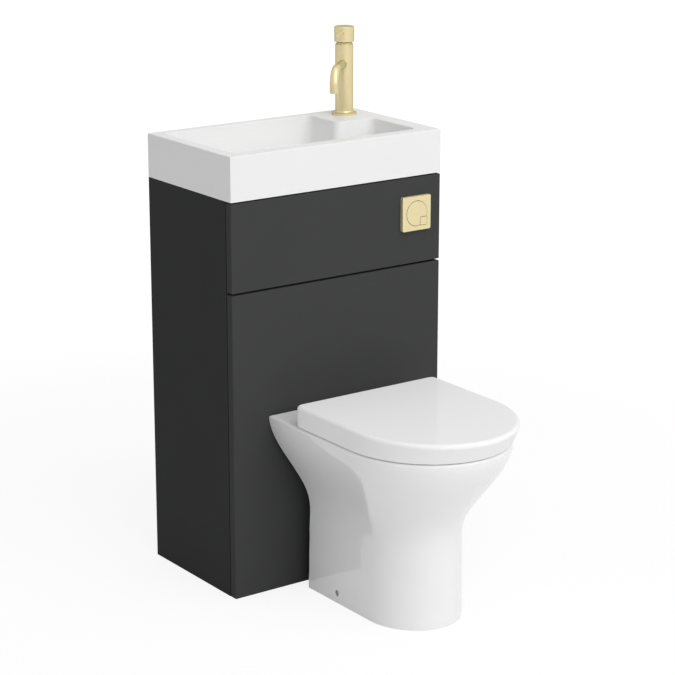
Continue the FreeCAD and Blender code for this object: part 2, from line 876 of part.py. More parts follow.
def basin_set():
    basin()
    waste_body()
    waste_plug()
    waste_fixings()
    trap_body()
    trap_nut_and_cup()


# Tap, made about its own axis with its spout along local X and then turned into place

def tap_place(obj, height=ZERO):
    return place(obj, tap_x, tap_y, basin_top + height, Z_AXIS, s.tap_turn)


def tap_turned(name, profile):
    return turned(name, profile, (tap_x, tap_y, basin_top), Z_AXIS, s.tap_turn)


def tap_hole_tool(name, radius, length, across, along, height):
    """A plain upright drill in the tap's own frame."""
    body = new_body(name)
    sketch = new_sketch(body, f"{name}_circle", "XY_Plane", height)
    circle(sketch, across, along, radius)
    pad(body, sketch, length)
    return tap_place(body)


def tap_side_tool(name, radius, start, length, height):
    """A plain drill along the spout's direction, in the tap's own frame."""
    body = new_body(name)
    sketch = new_sketch(body, f"{name}_circle", "YZ_Plane", start)
    circle(sketch, ZERO, height, radius)
    pad(body, sketch, length)
    return tap_place(body)


def tap_body():
    """Turned body with a hollow shank, flange, cartridge chamber, two inlet ports and the spout's opening."""
    low = -s.tap_shank
    base = s.tap_gasket
    flange = base + s.tap_flange
    cove = flange + s.tap_cove
    chamber = s.tap_body_height - (s.cartridge_height + s.cartridge_nut_flange * 2)
    hollow = s.tap_shank_radius - s.tap_shank_wall
    profile = [(ZERO, base), (hollow, base), (hollow, low), (s.tap_shank_radius, low),
               (s.tap_shank_radius, base), (s.tap_flange_radius, base), (s.tap_flange_radius, flange),
               (s.tap_radius + s.tap_cove / 3, flange + s.tap_cove / 3), (s.tap_radius, cove),
               (s.tap_radius, s.tap_body_height), (s.cartridge_bore, s.tap_body_height),
               (s.cartridge_bore, chamber), (s.tap_bore, chamber), (s.tap_bore, s.tap_base),
               (ZERO, s.tap_base)]
    shell = tap_turned("tap_shell", profile)
    ports = [tap_hole_tool(f"tap_port_{SIDE_NAMES[side]}", s.tap_port_radius, s.tap_base - base, ZERO,
                           s.tap_port_spacing / 2 * side, base) for side in SIDES]
    stud_hole = tap_hole_tool("tap_stud_hole", s.tap_stud_radius + s.snug, s.tap_stud_seat,
                              stud_offset(), ZERO, base)
    opening = tap_side_tool("tap_spout_opening", s.spout_radius + s.snug, ZERO, s.tap_radius * 2,
                            s.spout_height)
    part(cut("tap_body", shell, ports + [stud_hole, opening]), "tap_body")


def stud_offset():
    """The fixing stud stands behind the two ports."""
    return -(s.tap_port_radius + s.tap_stud_radius + s.tap_flange / 2)


def tap_spout():
    """Round tube swept along a level run, a quarter bend and a short drop."""
    body = new_body("tap_spout")
    path = new_sketch(body, "spout_path", "XZ_Plane")
    start = s.tap_bore + s.snug
    bend_x = s.spout_reach - s.spout_bend
    bend_z = s.spout_height - s.spout_bend
    tip_z = bend_z - s.spout_drop
    centre = vector(bend_x, bend_z, 0)
    path.addGeometry(Part.LineSegment(vector(start, s.spout_height, 0), vector(bend_x, s.spout_height, 0)))
    bend = Part.Circle(centre, Z_AXIS, number(s.spout_bend))
    path.addGeometry(Part.ArcOfCircle(bend, 0.0, math.pi / 2))
    path.addGeometry(Part.LineSegment(vector(s.spout_reach, bend_z, 0), vector(s.spout_reach, tip_z, 0)))
    path.addConstraint(Sketcher.Constraint("Coincident", 0, 2, 1, 2))
    path.addConstraint(Sketcher.Constraint("Coincident", 1, 1, 2, 1))
    rule = path.addConstraint(Sketcher.Constraint("Radius", 1, number(s.spout_bend)))
    bind(path, f"Constraints[{rule}]", s.spout_bend)
    pin_point(path, 0, 1, start, s.spout_height)
    pin_point(path, 0, 2, bend_x, s.spout_height)
    pin_point(path, 2, 1, s.spout_reach, bend_z)
    pin_point(path, 2, 2, s.spout_reach, tip_z)
    section = new_sketch(body, "spout_section", "YZ_Plane", start)
    circle(section, ZERO, s.spout_height, s.spout_radius)
    tube = body.newObject("PartDesign::AdditivePipe", "spout_tube")
    tube.Profile = section
    tube.Spine = path
    bore_section = new_sketch(body, "spout_bore_section", "YZ_Plane", start)
    circle(bore_section, ZERO, s.spout_height, s.spout_bore)
    bore = body.newObject("PartDesign::SubtractivePipe", "spout_bore_tube")
    bore.Profile = bore_section
    bore.Spine = path
    part(tap_place(body), "tap_spout")


def tap_aerator():
    tip_z = s.spout_height - s.spout_bend - s.spout_drop
    body = new_body("tap_aerator")
    sketch = new_sketch(body, "aerator_circle", "XY_Plane", tip_z)
    circle(sketch, s.spout_reach, ZERO, s.spout_bore - s.snug)
    pad(body, sketch, s.aerator_length)
    part(tap_place(body), "tap_aerator")


def tap_cartridge():
    low = s.tap_body_height - (s.cartridge_height + s.cartridge_nut_flange * 2)
    outer = s.cartridge_bore - s.snug
    inner = outer - s.cartridge_wall
    floor = low + s.cartridge_floor
    high = low + s.cartridge_height
    profile = [(ZERO, low), (outer, low), (outer, high), (inner, high), (inner, floor), (ZERO, floor)]
    part(tap_turned("tap_cartridge", profile), "tap_cartridge")
    top = s.tap_body_height + s.cartridge_nut_flange
    flange = s.cartridge_bore + s.cartridge_nut_flange / 3
    profile = [(s.cartridge_nut_bore, high), (outer, high), (outer, s.tap_body_height),
               (flange, s.tap_body_height), (flange, top), (s.cartridge_nut_bore, top)]
    part(tap_turned("cartridge_nut", profile), "cartridge_nut")


def carrier_low():
    return s.tap_body_height - s.cartridge_height - s.cartridge_nut_flange * 2 + s.cartridge_floor + s.snug


def pivot_height():
    return carrier_low() + s.pivot_rise


def cartridge_carrier():
    """Turning disc with a slot in which the spindle tilts on its cross pin."""
    low = carrier_low()
    radius = s.cartridge_bore - s.snug - s.cartridge_wall - s.running
    body = new_body("carrier_disc")
    sketch = new_sketch(body, "carrier_circle", "XY_Plane", low)
    circle(sketch, ZERO, ZERO, radius)
    pad(body, sketch, s.carrier_height)
    slot = new_sketch(body, "carrier_slot", "XY_Plane", low + s.carrier_height)
    reach = s.spindle_radius + s.pivot_radius
    width = s.spindle_radius + s.loose
    rectangle(slot, -reach, -width, reach, width)
    pocket(body, slot, s.carrier_height - s.cartridge_floor / 2)
    pivot = new_sketch(body, "carrier_pivot", "XZ_Plane")
    circle(pivot, ZERO, pivot_height(), s.pivot_radius + s.running)
    hole = pocket(body, pivot, radius * 2)
    hole.Midplane = True
    part(tap_place(body), "cartridge_carrier")


def cartridge_spindle():
    """Upright spindle with the cross pin that it tilts on."""
    low = pivot_height() - s.spindle_radius - s.pivot_radius / 2
    body = new_body("spindle")
    sketch = new_sketch(body, "spindle_circle", "XY_Plane", low)
    circle(sketch, ZERO, ZERO, s.spindle_radius)
    pad(body, sketch, s.spindle_length)
    pin = new_sketch(body, "spindle_pin", "XZ_Plane")
    circle(pin, ZERO, pivot_height(), s.pivot_radius)
    reach = s.cartridge_bore - s.snug - s.cartridge_wall - s.loose
    cross = pad(body, pin, reach * 2 - s.loose)
    cross.Midplane = True
    part(tap_place(body), "cartridge_spindle")


def lever_peg_tool(name, radius, start, length):
    """A round bar on the peg's sloping axis, from the given distance out."""
    body = new_body(name)
    height = s.tap_body_height + s.lever_groove + s.peg_rise
    sketch = new_sketch(body, f"{name}_circle", "YZ_Plane", start)
    circle(sketch, ZERO, ZERO, radius)
    pad(body, sketch, length)
    tilt = FreeCAD.Rotation(Y_AXIS, number(s.peg_slope))
    turn = FreeCAD.Rotation(Z_AXIS, number(s.tap_turn))
    body.Placement = FreeCAD.Placement(vector(tap_x, tap_y, basin_top + height), turn * tilt)
    bind(body, "Placement.Base.x", tap_x)
    bind(body, "Placement.Base.y", tap_y)
    bind(body, "Placement.Base.z", basin_top + height)
    return body


def tap_lever():
    """Cap with a recess that clears the cartridge nut, a socket for the spindle and the side peg."""
    low = s.tap_body_height + s.lever_groove
    high = low + s.lever_cap_height
    recess = s.lever_cap_radius - s.lever_cap_wall
    ease = s.lever_cap_wall / 3
    socket = s.spindle_radius + s.snug
    spindle_top = pivot_height() - s.spindle_radius - s.pivot_radius / 2 + s.spindle_length
    profile = [(recess, low), (s.lever_cap_radius - ease / 2, low), (s.lever_cap_radius, low + ease / 2),
               (s.lever_cap_radius, high - ease), (s.lever_cap_radius - ease, high), (ZERO, high),
               (ZERO, spindle_top + s.snug), (socket, spindle_top + s.snug),
               (socket, low + s.lever_cap_recess), (recess, low + s.lever_cap_recess)]
    cap = tap_turned("lever_cap_blank", profile)
    start = s.lever_cap_radius - s.peg_seat
    seat = lever_peg_tool("peg_hole", s.peg_radius + s.snug / 2, start, s.peg_reach)
    part(cut("tap_lever_cap", cap, [seat]), "tap_lever_cap")
    part(lever_peg_tool("tap_lever_peg", s.peg_radius, start + s.snug, s.peg_reach - start), "tap_lever_peg")


def tap_fixings():
    part(ring("tap_gasket", s.tap_flange_radius - s.snug, s.tap_shank_radius + s.snug, s.tap_gasket,
              (tap_x, tap_y, basin_top)), "tap_gasket")
    stud_top = s.tap_gasket + s.tap_stud_seat
    stud = tap_hole_tool("tap_stud", s.tap_stud_radius, s.tap_stud_length + stud_top, stud_offset(), ZERO,
                         -s.tap_stud_length)
    part(stud, "tap_stud")
    plate_low = -s.ledge_thickness - s.clamp_plate
    blank = tap_hole_tool("clamp_blank", s.clamp_plate_radius, s.clamp_plate, ZERO, ZERO, plate_low)
    throat = clamp_throat(plate_low)
    hole = tap_hole_tool("clamp_hole", s.tap_stud_radius + s.snug, s.clamp_plate, stud_offset(), ZERO,
                         plate_low)
    part(cut("tap_clamp_plate", blank, [throat, hole]), "tap_clamp_plate")
    nut_low = plate_low - s.tap_nut_height
    nut_body = new_body("tap_nut_hex")
    sketch = new_sketch(nut_body, "tap_nut_outline", "XY_Plane", nut_low)
    polygon(sketch, hexagon_points(stud_offset(), s.tap_nut_radius))
    pad(nut_body, sketch, s.tap_nut_height)
    tap_place(nut_body)
    bore = tap_hole_tool("tap_nut_bore", s.tap_stud_radius + s.snug, s.tap_nut_height, stud_offset(),
                         ZERO, nut_low)
    part(cut("tap_nut", nut_body, [bore]), "tap_nut")


def hexagon_points(across, radius):
    points = []
    for corner in range(HEXAGON):
        angle = 2 * math.pi * corner / HEXAGON
        points.append((across + radius * math.cos(angle), radius * math.sin(angle)))
    return points


def clamp_throat(low):
    """The open side of the horseshoe washer, which lets the inlet tails through."""
    body = new_body("clamp_throat")
    sketch = new_sketch(body, "clamp_throat_outline", "XY_Plane", low)
    back = -s.tap_port_radius - s.loose
    rectangle(sketch, back, -(s.tap_port_spacing / 2 + s.tap_port_radius + s.loose),
              s.clamp_plate_radius * 2, s.tap_port_spacing / 2 + s.tap_port_radius + s.loose)
    pad(body, sketch, s.clamp_plate)
    return tap_place(body)


def tap_set():
    tap_body()
    tap_spout()
    tap_aerator()
    tap_cartridge()
    cartridge_carrier()
    cartridge_spindle()
    tap_lever()
    tap_fixings()


# Flush plate, buttons and their housing, drawn on the front plane seen from the front

def front_point(across, up):
    return plate_x + across, plate_z + up


def rounded_square(body, name, offset, low_x, low_z, high_x, high_z, thickness, corner):
    """A plate with rounded corners, drawn on the front plane and padded away from the wall."""
    sketch = new_sketch(body, name, "XZ_Plane", offset)
    rectangle(sketch, *front_point(low_x, low_z), *front_point(high_x, high_z))
    pad(body, sketch, thickness)
    depth = number(thickness)
    soften(body, f"{name}_corners", corner, lambda edge: is_plain_depth(edge, depth))


def is_plain_depth(edge, depth):
    """True for a straight edge that runs front to back through the whole thickness."""
    straight = edge.BoundBox.XLength + edge.BoundBox.ZLength < number(s.running)
    return straight and abs(edge.BoundBox.YLength - depth) < number(s.running)


def half_button_edges(extra):
    reach = s.half_button_size / 2 + extra
    centre = s.half_button_offset
    return centre - reach, -centre - reach, centre + reach, -centre + reach


def half_cut_out(name, extra, offset, thickness):
    """The small square window that the half-flush button works in."""
    body = new_body(name)
    rounded_square(body, f"{name}_square", offset, *half_button_edges(extra), thickness,
                   s.half_button_corner + extra)
    return body


def flush_plate():
    body = new_body("plate_blank")
    reach = s.plate_size / 2
    rounded_square(body, "plate_square", s.cabinet_depth, -reach, -reach, reach, reach, s.plate_thickness,
                   s.plate_corner)
    front = number(s.cabinet_depth + s.plate_thickness)
    soften(body, "plate_front_edge", s.plate_corner / 5,
           lambda edge: abs(edge.BoundBox.YMin + front) + edge.BoundBox.YLength < number(s.running))
    window = rod_along_y("full_window", s.full_button_radius + s.button_line, s.plate_thickness,
                         (plate_x, -s.cabinet_depth - s.plate_thickness, plate_z))
    square = half_cut_out("half_window", s.button_line, s.cabinet_depth, s.plate_thickness)
    part(cut("flush_plate", body, [window, square]), "flush_plate")


def button_front():
    return s.cabinet_depth + s.plate_thickness + s.button_proud


def full_flush_button():
    """Round button with a notch for the half-flush button, on a guide stem."""
    front = -button_front()
    face = rod_along_y("full_face", s.full_button_radius, s.button_thickness,
                       (plate_x, front, plate_z))
    back = button_front() - s.button_thickness
    notch = half_cut_out("full_notch", s.button_line, back - s.loose, s.button_thickness + s.loose * 2)
    x, z = front_point(-s.stem_offset, s.stem_offset)
    stem = rod_along_y("full_stem", s.full_stem_radius, s.stem_length, (x, -back - s.loose, z))
    part(join("full_flush_button", [cut("full_disc", face, [notch]), stem]), "full_flush_button")


def half_flush_button():
    back = button_front() - s.button_thickness
    face = half_cut_out("half_face", ZERO, back, s.button_thickness)
    x, z = front_point(s.half_button_offset, -s.half_button_offset)
    stem = rod_along_y("half_stem", s.half_stem_radius, s.stem_length, (x, -back - s.loose, z))
    part(join("half_flush_button", [face, stem]), "half_flush_button")


def button_housing():
    """Threaded barrel behind the plate with a guide bore per button and two air nipples."""
    front = -s.cabinet_depth
    barrel = rod_along_y("housing_barrel", s.housing_radius, s.housing_depth,
                         (plate_x, front, plate_z))
    full_x, full_z = front_point(-s.stem_offset, s.stem_offset)
    half_x, half_z = front_point(s.half_button_offset, -s.half_button_offset)
    bore_depth = s.stem_length + s.loose
    full_bore = rod_along_y("full_guide", s.full_stem_radius + s.running, bore_depth, (full_x, front, full_z))
    half_bore = rod_along_y("half_guide", s.half_stem_radius + s.running, bore_depth, (half_x, front, half_z))
    nipple_y = front + s.housing_depth
    nipples = [rod_along_y("full_nipple", s.nipple_radius, s.nipple_length, (full_x, nipple_y, full_z)),
               rod_along_y("half_nipple", s.nipple_radius, s.nipple_length, (half_x, nipple_y, half_z))]
    bored = cut("housing_bored", barrel, [full_bore, half_bore])
    part(join("button_housing", [bored] + nipples), "button_housing")
    nut = ring("housing_ring_nut", s.housing_nut_radius, s.housing_radius + s.snug, s.housing_nut_height,
               (plate_x, -panel_back, plate_z), X_AXIS, -QUARTER_TURN)
    part(nut, "housing_nut")


def flush_controls():
    flush_plate()
    full_flush_button()
    half_flush_button()
    button_housing()


# Pan: a lofted ceramic body, hollow underneath, with its bowl, trapway, inlet and outlet

PEDESTAL_LEVELS = (0.0, 0.17, 0.34, 0.5, 0.67, 0.84)
FLARE_LEVELS = (0.0, 0.15, 0.3, 0.45, 0.6, 0.75, 0.9, 1.0)
BOWL_LEVELS = (0.0, 0.1, 0.25, 0.4, 0.55, 0.7, 0.85, 1.0, 1.05)
LOFT_DEGREE = 3
FRONT_STEPS = 8
OVAL_STEPS = 16


def blend(low, high, share):
    return low + (high - low) * share


def smooth_step(share):
    return share * share * (3 - 2 * share)


def half_ellipse(half, shoulder, front, z):
    """The rounded front of an outline, from its left shoulder round to its right one."""
    angles = [math.pi * step / FRONT_STEPS for step in range(FRONT_STEPS + 1)]
    points = [V(-half * math.cos(a), shoulder - (shoulder - front) * math.sin(a), z) for a in angles]
    curve = Part.BSplineCurve()
    start = V(0, -(shoulder - front), 0)
    curve.interpolate(Points=points, Parameters=angles, InitialTangent=start, FinalTangent=-start,
                      Scale=False)
    return curve.toShape()


def oval(half, rear, front, z):
    """A closed ellipse, as one smooth curve."""
    centre, reach = (rear + front) / 2, (rear - front) / 2
    angles = [2 * math.pi * step / OVAL_STEPS for step in range(OVAL_STEPS + 1)]
    points = [V(half * math.cos(a), centre + reach * math.sin(a), z) for a in angles[:-1]]
    curve = Part.BSplineCurve()
    curve.interpolate(Points=points, Parameters=angles, PeriodicFlag=True)
    return Part.Wire([curve.toShape()])


def d_outline(half, rear, shoulder, front, z):
    """A closed outline with a straight back, straight sides and a half-ellipse front."""
    right_rear, left_rear = V(half, rear, z), V(-half, rear, z)
    left, right = V(-half, shoulder, z), V(half, shoulder, z)
    return Part.Wire([Part.makeLine(right_rear, left_rear), Part.makeLine(left_rear, left),
                      half_ellipse(half, shoulder, front, z), Part.makeLine(right, right_rear)])


def round_rear_outline(half, rear, shoulder, front, z, corner):
    """The same outline with its two rear corners rounded."""
    slack = corner * (1 - math.sqrt(0.5))
    right_back, left_back = V(half - corner, rear, z), V(corner - half, rear, z)
    right_side, left_side = V(half, rear - corner, z), V(-half, rear - corner, z)
    left, right = V(-half, shoulder, z), V(half, shoulder, z)
    left_turn = Part.Arc(left_back, V(slack - half, rear - slack, z), left_side).toShape()
    right_turn = Part.Arc(right_side, V(half - slack, rear - slack, z), right_back).toShape()
    return Part.Wire([Part.makeLine(right_back, left_back), left_turn, Part.makeLine(left_side, left),
                      half_ellipse(half, shoulder, front, z), Part.makeLine(right, right_side), right_turn])


def smooth_loft(sections):
    return Part.makeLoft(sections, True, False, False, LOFT_DEGREE)


def pan_section(z):
    """The pan's outer outline at a height: a near-upright pedestal, then a smooth flare."""
    neck, rim = number(s.neck_height), number(s.rim_height)
    depth = number(s.cabinet_depth)
    share = smooth_step(max(0.0, (z - neck) / (rim - neck)))
    narrow = blend(number(s.base_half_width), number(s.neck_half_width), min(1.0, z / neck))
    half = blend(narrow, number(s.rim_half_width), share)
    rear = -depth - blend(number(s.base_rear_gap), number(s.rim_rear_gap), share)
    shoulder = -depth - blend(number(s.base_shoulder), number(s.rim_shoulder), share)
    front = -depth - blend(number(s.base_front), number(s.rim_front), share)
    return d_outline(half, rear, shoulder, front, z)


def pan_outside():
    neck, rim = number(s.neck_height), number(s.rim_height)
    heights = [neck * share for share in PEDESTAL_LEVELS]
    heights += [blend(neck, rim, share) for share in FLARE_LEVELS]
    outside = smooth_loft([pan_section(z) for z in heights])
    rim_edges = [edge for edge in outside.Edges if is_level_at(edge, rim)]
    return outside.makeFillet(number(s.rim_round), rim_edges)


def pan_hollow():
    """The space inside the pedestal and behind the bowl, open at the floor."""
    depth, wall = number(s.cabinet_depth), number(s.pan_wall)
    half = number(s.neck_half_width) - wall
    rear = -depth - number(s.base_rear_gap) - wall
    shoulder, front = -depth - number(s.base_shoulder), -depth - number(s.base_front) + wall
    top_front = -depth - number(s.bowl_rear)
    levels = [d_outline(half, rear, shoulder, front, -wall),
              d_outline(half, rear, shoulder, front, number(s.neck_height) - wall),
              d_outline(half, rear, top_front + wall * 3, top_front, number(s.rim_height - s.deck_thickness))]
    return Part.makeLoft(levels, True, True)


def bowl_section(share, extra):
    """One oval of the bowl, from the sump (0) to the rim (1)."""
    depth = number(s.cabinet_depth)
    widen = smooth_step(min(1.0, share))
    half = blend(number(s.sump_half_width), number(s.bowl_half_width), widen) + extra
    rear = -depth - blend(number(s.sump_reach - s.sump_depth), number(s.bowl_rear), widen) + extra
    front = -depth - blend(number(s.sump_reach + s.sump_depth), number(s.bowl_front), widen) - extra
    z = blend(number(s.sump_height) - extra, number(s.rim_height), share)
    return oval(half, rear, front, z)


def bowl_form(extra):
    return smooth_loft([bowl_section(share, extra) for share in BOWL_LEVELS])


def bent_path(points, radius):
    """Straight runs through the points, joined by tangent arcs of one radius."""
    edges = []
    start = points[0]
    for before, corner, after in zip(points, points[1:], points[2:]):
        into, out = (corner - before).normalize(), (after - corner).normalize()
        half_turn = into.getAngle(out) / 2
        reach = radius * math.tan(half_turn)
        arc_start, arc_end = corner - into * reach, corner + out * reach
        sagitta = radius / math.cos(half_turn) - radius
        middle = corner + (out - into).normalize() * sagitta
        edges.append(Part.makeLine(start, arc_start))
        edges.append(Part.Arc(arc_start, middle, arc_end).toShape())
        start = arc_end
    edges.append(Part.makeLine(start, points[-1]))
    return Part.Wire(edges)


def swept_round(path, radius):
    first = path.Edges[0]
    start = first.valueAt(first.FirstParameter)
    direction = first.tangentAt(first.FirstParameter)
    profile = Part.Wire([Part.makeCircle(radius, start, direction)])
    return path.makePipeShell([profile], True, False)


def trapway_path(extra):
    """From the sump back and up over the weir, then level to the outlet."""
    sump_y = -number(s.cabinet_depth + s.sump_reach)
    low, high = number(s.trapway_low), number(s.outlet_height)
    bend = number(s.trapway_bend)
    outlet = -number(s.outlet_from_wall) + extra
    rise_start = sump_y + bend
    rise_end = rise_start + bend
    points = [V(0, sump_y, low), V(0, rise_start, low), V(0, rise_end, high), V(0, outlet, high)]
    return bent_path(points, bend)


def along_y(radius, start, length, x, z):
    return Part.makeCylinder(radius, length, V(x, start, z), Y_AXIS)


def pan_inlet():
    """The flush pipe's socket and the channel from it to the bowl, as a boss and its bores."""
    depth, height, wall = number(s.cabinet_depth), number(s.inlet_height), number(s.pan_wall)
    boss_front = -depth - number(s.bowl_rear) - wall
    socket_front = -depth - number(s.inlet_depth)
    boss = along_y(number(s.inlet_boss_radius), boss_front, -depth - boss_front, 0, height)
    socket = along_y(number(s.inlet_radius), socket_front, -socket_front, 0, height)
    channel_front = boss_front - wall
    channel = along_y(number(s.flush_pipe_radius - s.flush_pipe_wall), channel_front,
                      socket_front - channel_front + wall, 0, height)
    return boss, [socket, channel]


def pan_holes():
    """Side fixing holes, the holes for the two hinge studs and the room for their nuts."""
    holes = []
    half = number(s.base_half_width)
    reach = -number(s.cabinet_depth + s.side_hole_reach)
    radius = number(s.side_hole_radius)
    deck = number(s.deck_thickness)
    stud_radius, nut_room = number(s.hinge_stud_radius + s.snug), number(s.hinge_nut_radius + s.loose)
    for side in SIDES:
        start = V(side * (half + radius), reach, number(s.side_hole_height))
        holes.append(Part.makeCylinder(radius, number(s.pan_wall) * 2, start, V(-side, 0, 0)))
        stud = V(side * number(s.hinge_spacing) / 2, number(hinge_y), number(s.rim_height) - deck)
        holes.append(Part.makeCylinder(stud_radius, deck, stud, Z_AXIS))
        holes.append(Part.makeCylinder(nut_room, number(s.hinge_stud_length) - deck, stud, -Z_AXIS))
    return holes


def pan():
    boss, inlet_bores = pan_inlet()
    collar = number(s.outlet_collar)
    trapway = swept_round(trapway_path(0.0), number(s.outlet_radius - s.outlet_step))
    spigot = along_y(number(s.outlet_radius), -number(s.outlet_from_wall) - collar, collar, 0,
                     number(s.outlet_height))
    trapway_bore = swept_round(trapway_path(1.0), number(s.trapway_radius))
    hollow = pan_hollow().cut([bowl_form(number(s.pan_wall)), trapway, boss])
    solid = pan_outside().fuse([trapway, spigot])
    body = solid.cut([hollow, bowl_form(0.0), trapway_bore] + inlet_bores + pan_holes())
    obj = doc.addObject("Part::Feature", "pan")
    obj.Shape = body.removeSplitter()
    obj.Placement = FreeCAD.Placement()
    part(obj, "pan")


def pan_fixings():
    """Floor brackets inside the pan, the side screws into them and their caps."""
    brackets, screws, caps = [], [], []
    reach = -(s.cabinet_depth + s.side_hole_reach)
    share = s.side_hole_height.number / s.neck_height.number
    wall_x = s.base_half_width + (s.neck_half_width - s.base_half_width) * share
    bracket_x = s.neck_half_width - s.pan_wall - s.loose
    for side in SIDES:
        side_name = SIDE_NAMES[side]
        low_x = bracket_x - s.bracket_thickness if side > 0 else -bracket_x
        block = box(f"bracket_{side_name}", (low_x, reach - s.bracket_width / 2, ZERO),
                    (s.bracket_thickness, s.bracket_width, s.bracket_height))
        pilot = rod_along_x(f"pilot_{side_name}", s.pan_screw_radius + s.snug, s.bracket_thickness,
                            (low_x, reach, s.side_hole_height))
        brackets.append(cut(f"bracket_drilled_{side_name}", block, [pilot]))
        screws.append(pan_screw(side, wall_x, bracket_x, reach))
        caps.append(pan_cap(side, wall_x, reach))
    part(group("pan_brackets", brackets), "pan_brackets")
    part(group("pan_screw_caps", caps), "pan_screw_caps")
    return screws


def pan_screw(side, wall_x, bracket_x, reach):
    """A round-headed screw, turned about the side hole's axis with its head outwards."""
    head = s.side_hole_radius - s.loose
    outer = wall_x - s.side_hole_radius
    tip = bracket_x - s.bracket_thickness + s.pan_screw_radius
    profile = [(ZERO, tip), (s.pan_screw_radius, tip), (s.pan_screw_radius, outer - s.pan_screw_radius),
               (head, outer - s.pan_screw_radius), (head, outer), (ZERO, outer)]
    return turned(f"pan_screw_{SIDE_NAMES[side]}", profile, (ZERO, reach, s.side_hole_height), Y_AXIS,
                  QUARTER_TURN * side)


def pan_cap(side, wall_x, reach):
    radius = s.side_hole_radius - s.snug
    inner = wall_x - s.side_hole_radius + s.snug
    outer = wall_x - s.panel_edge_round
    profile = [(ZERO, inner), (radius, inner), (radius, outer - s.loose * 2), (radius - s.loose * 2, outer),
               (ZERO, outer)]
    return turned(f"pan_cap_{SIDE_NAMES[side]}", profile, (ZERO, reach, s.side_hole_height), Y_AXIS,
                  QUARTER_TURN * side)


# Seat, lid and hinges

def lid_outline(z, inset=0.0):
    """The lid's outline: it meets the pan's rim at the seam and rakes outwards to its top."""
    depth = number(s.cabinet_depth)
    low = number(s.rim_height + s.seat_seam)
    share = (z - low) / number(s.lid_depth)
    half = number(s.rim_half_width) - inset
    rear = -depth - number(s.lid_rear) - inset
    shoulder = -depth - blend(number(s.rim_shoulder), number(s.lid_shoulder), share)
    front = -depth - blend(number(s.rim_front), number(s.lid_front), share) + inset
    return round_rear_outline(half, rear, shoulder, front, z, number(s.lid_corner) - inset)


def seat_bottom():
    return s.rim_height + s.seat_lift


def x_cylinder(radius, low_x, high_x):
    """A bar along the hinge axis."""
    return Part.makeCylinder(radius, high_x - low_x, V(low_x, number(hinge_y), number(hinge_z)), X_AXIS)


def ear_span(side, inner_side):
    """Where an ear starts and ends across the unit: seat ears inside the posts, lid ears outside."""
    post = number(s.hinge_post_width) / 2 + number(s.loose)
    centre = side * number(s.hinge_spacing) / 2
    away = -side if inner_side else side
    near = centre + away * post
    far = near + away * number(s.hinge_ear)
    return min(near, far), max(near, far)


def hinge_ears(inner_side, arm_low, arm_high):
    """Rings for the hinge pins with their arms, and the pin holes through them."""
    rings, holes = [], []
    radius = number(s.hinge_ear_radius)
    for side in SIDES:
        low_x, high_x = ear_span(side, inner_side)
        rings.append(x_cylinder(radius, low_x, high_x))
        size = arm_high - arm_low
        rings.append(Part.makeBox(high_x - low_x, size.y, size.z, V(low_x, arm_low.y, arm_low.z)))
        holes.append(x_cylinder(number(s.hinge_pin_radius + s.running), low_x, high_x))
    return rings, holes


def seat_ring():
    """Flat ring with rounded edges, on two ears that turn on the hinge pins."""
    low = number(seat_bottom())
    thick = number(s.seat_thickness)
    depth = number(s.cabinet_depth)
    inset = number(s.lid_wall + s.seat_clearance)
    half = number(s.rim_half_width) - inset
    front = -depth - number(s.rim_front) + inset
    outer = d_outline(half, -depth - number(s.seat_rear), -depth - number(s.rim_shoulder), front, low)
    hole_front, hole_rear = -depth - number(s.seat_hole_front), -depth - number(s.seat_hole_rear)
    hole = oval(number(s.seat_hole_half_width), hole_rear, hole_front, low)
    plate = Part.Face(outer).extrude(V(0, 0, thick)).cut(Part.Face(hole).extrude(V(0, 0, thick)))
    top_edges = [edge for edge in plate.Edges if is_level_at(edge, low + thick)]
    plate = plate.makeFillet(number(s.seat_edge_round), top_edges)
    ear = number(s.hinge_ear_radius)
    seat_rear = -depth - number(s.seat_rear)
    top = low + thick
    arm_low, arm_high = V(0, seat_rear - ear, top - ear), V(0, number(hinge_y), top - number(s.lap))
    rings, holes = hinge_ears(True, arm_low, arm_high)
    obj = doc.addObject("Part::Feature", "seat_ring")
    obj.Shape = plate.fuse(rings).cut(holes).removeSplitter()
    obj.Placement = FreeCAD.Placement()
    part(obj, "seat_ring")


def lid_window(side, low, high):
    """The opening in the lid's rear wall for a post and the seat's ear beside it."""
    seat_ear, lid_ear = ear_span(side, True), ear_span(side, False)
    inner_end = seat_ear[0] - number(s.loose) if side > 0 else seat_ear[1] + number(s.loose)
    outer_end = lid_ear[0] if side > 0 else lid_ear[1]
    start, end = min(inner_end, outer_end), max(inner_end, outer_end)
    wall, rear = number(s.lid_wall), -number(s.cabinet_depth + s.lid_rear)
    return Part.makeBox(end - start, wall * 2, high - low, V(start, rear - wall, low))


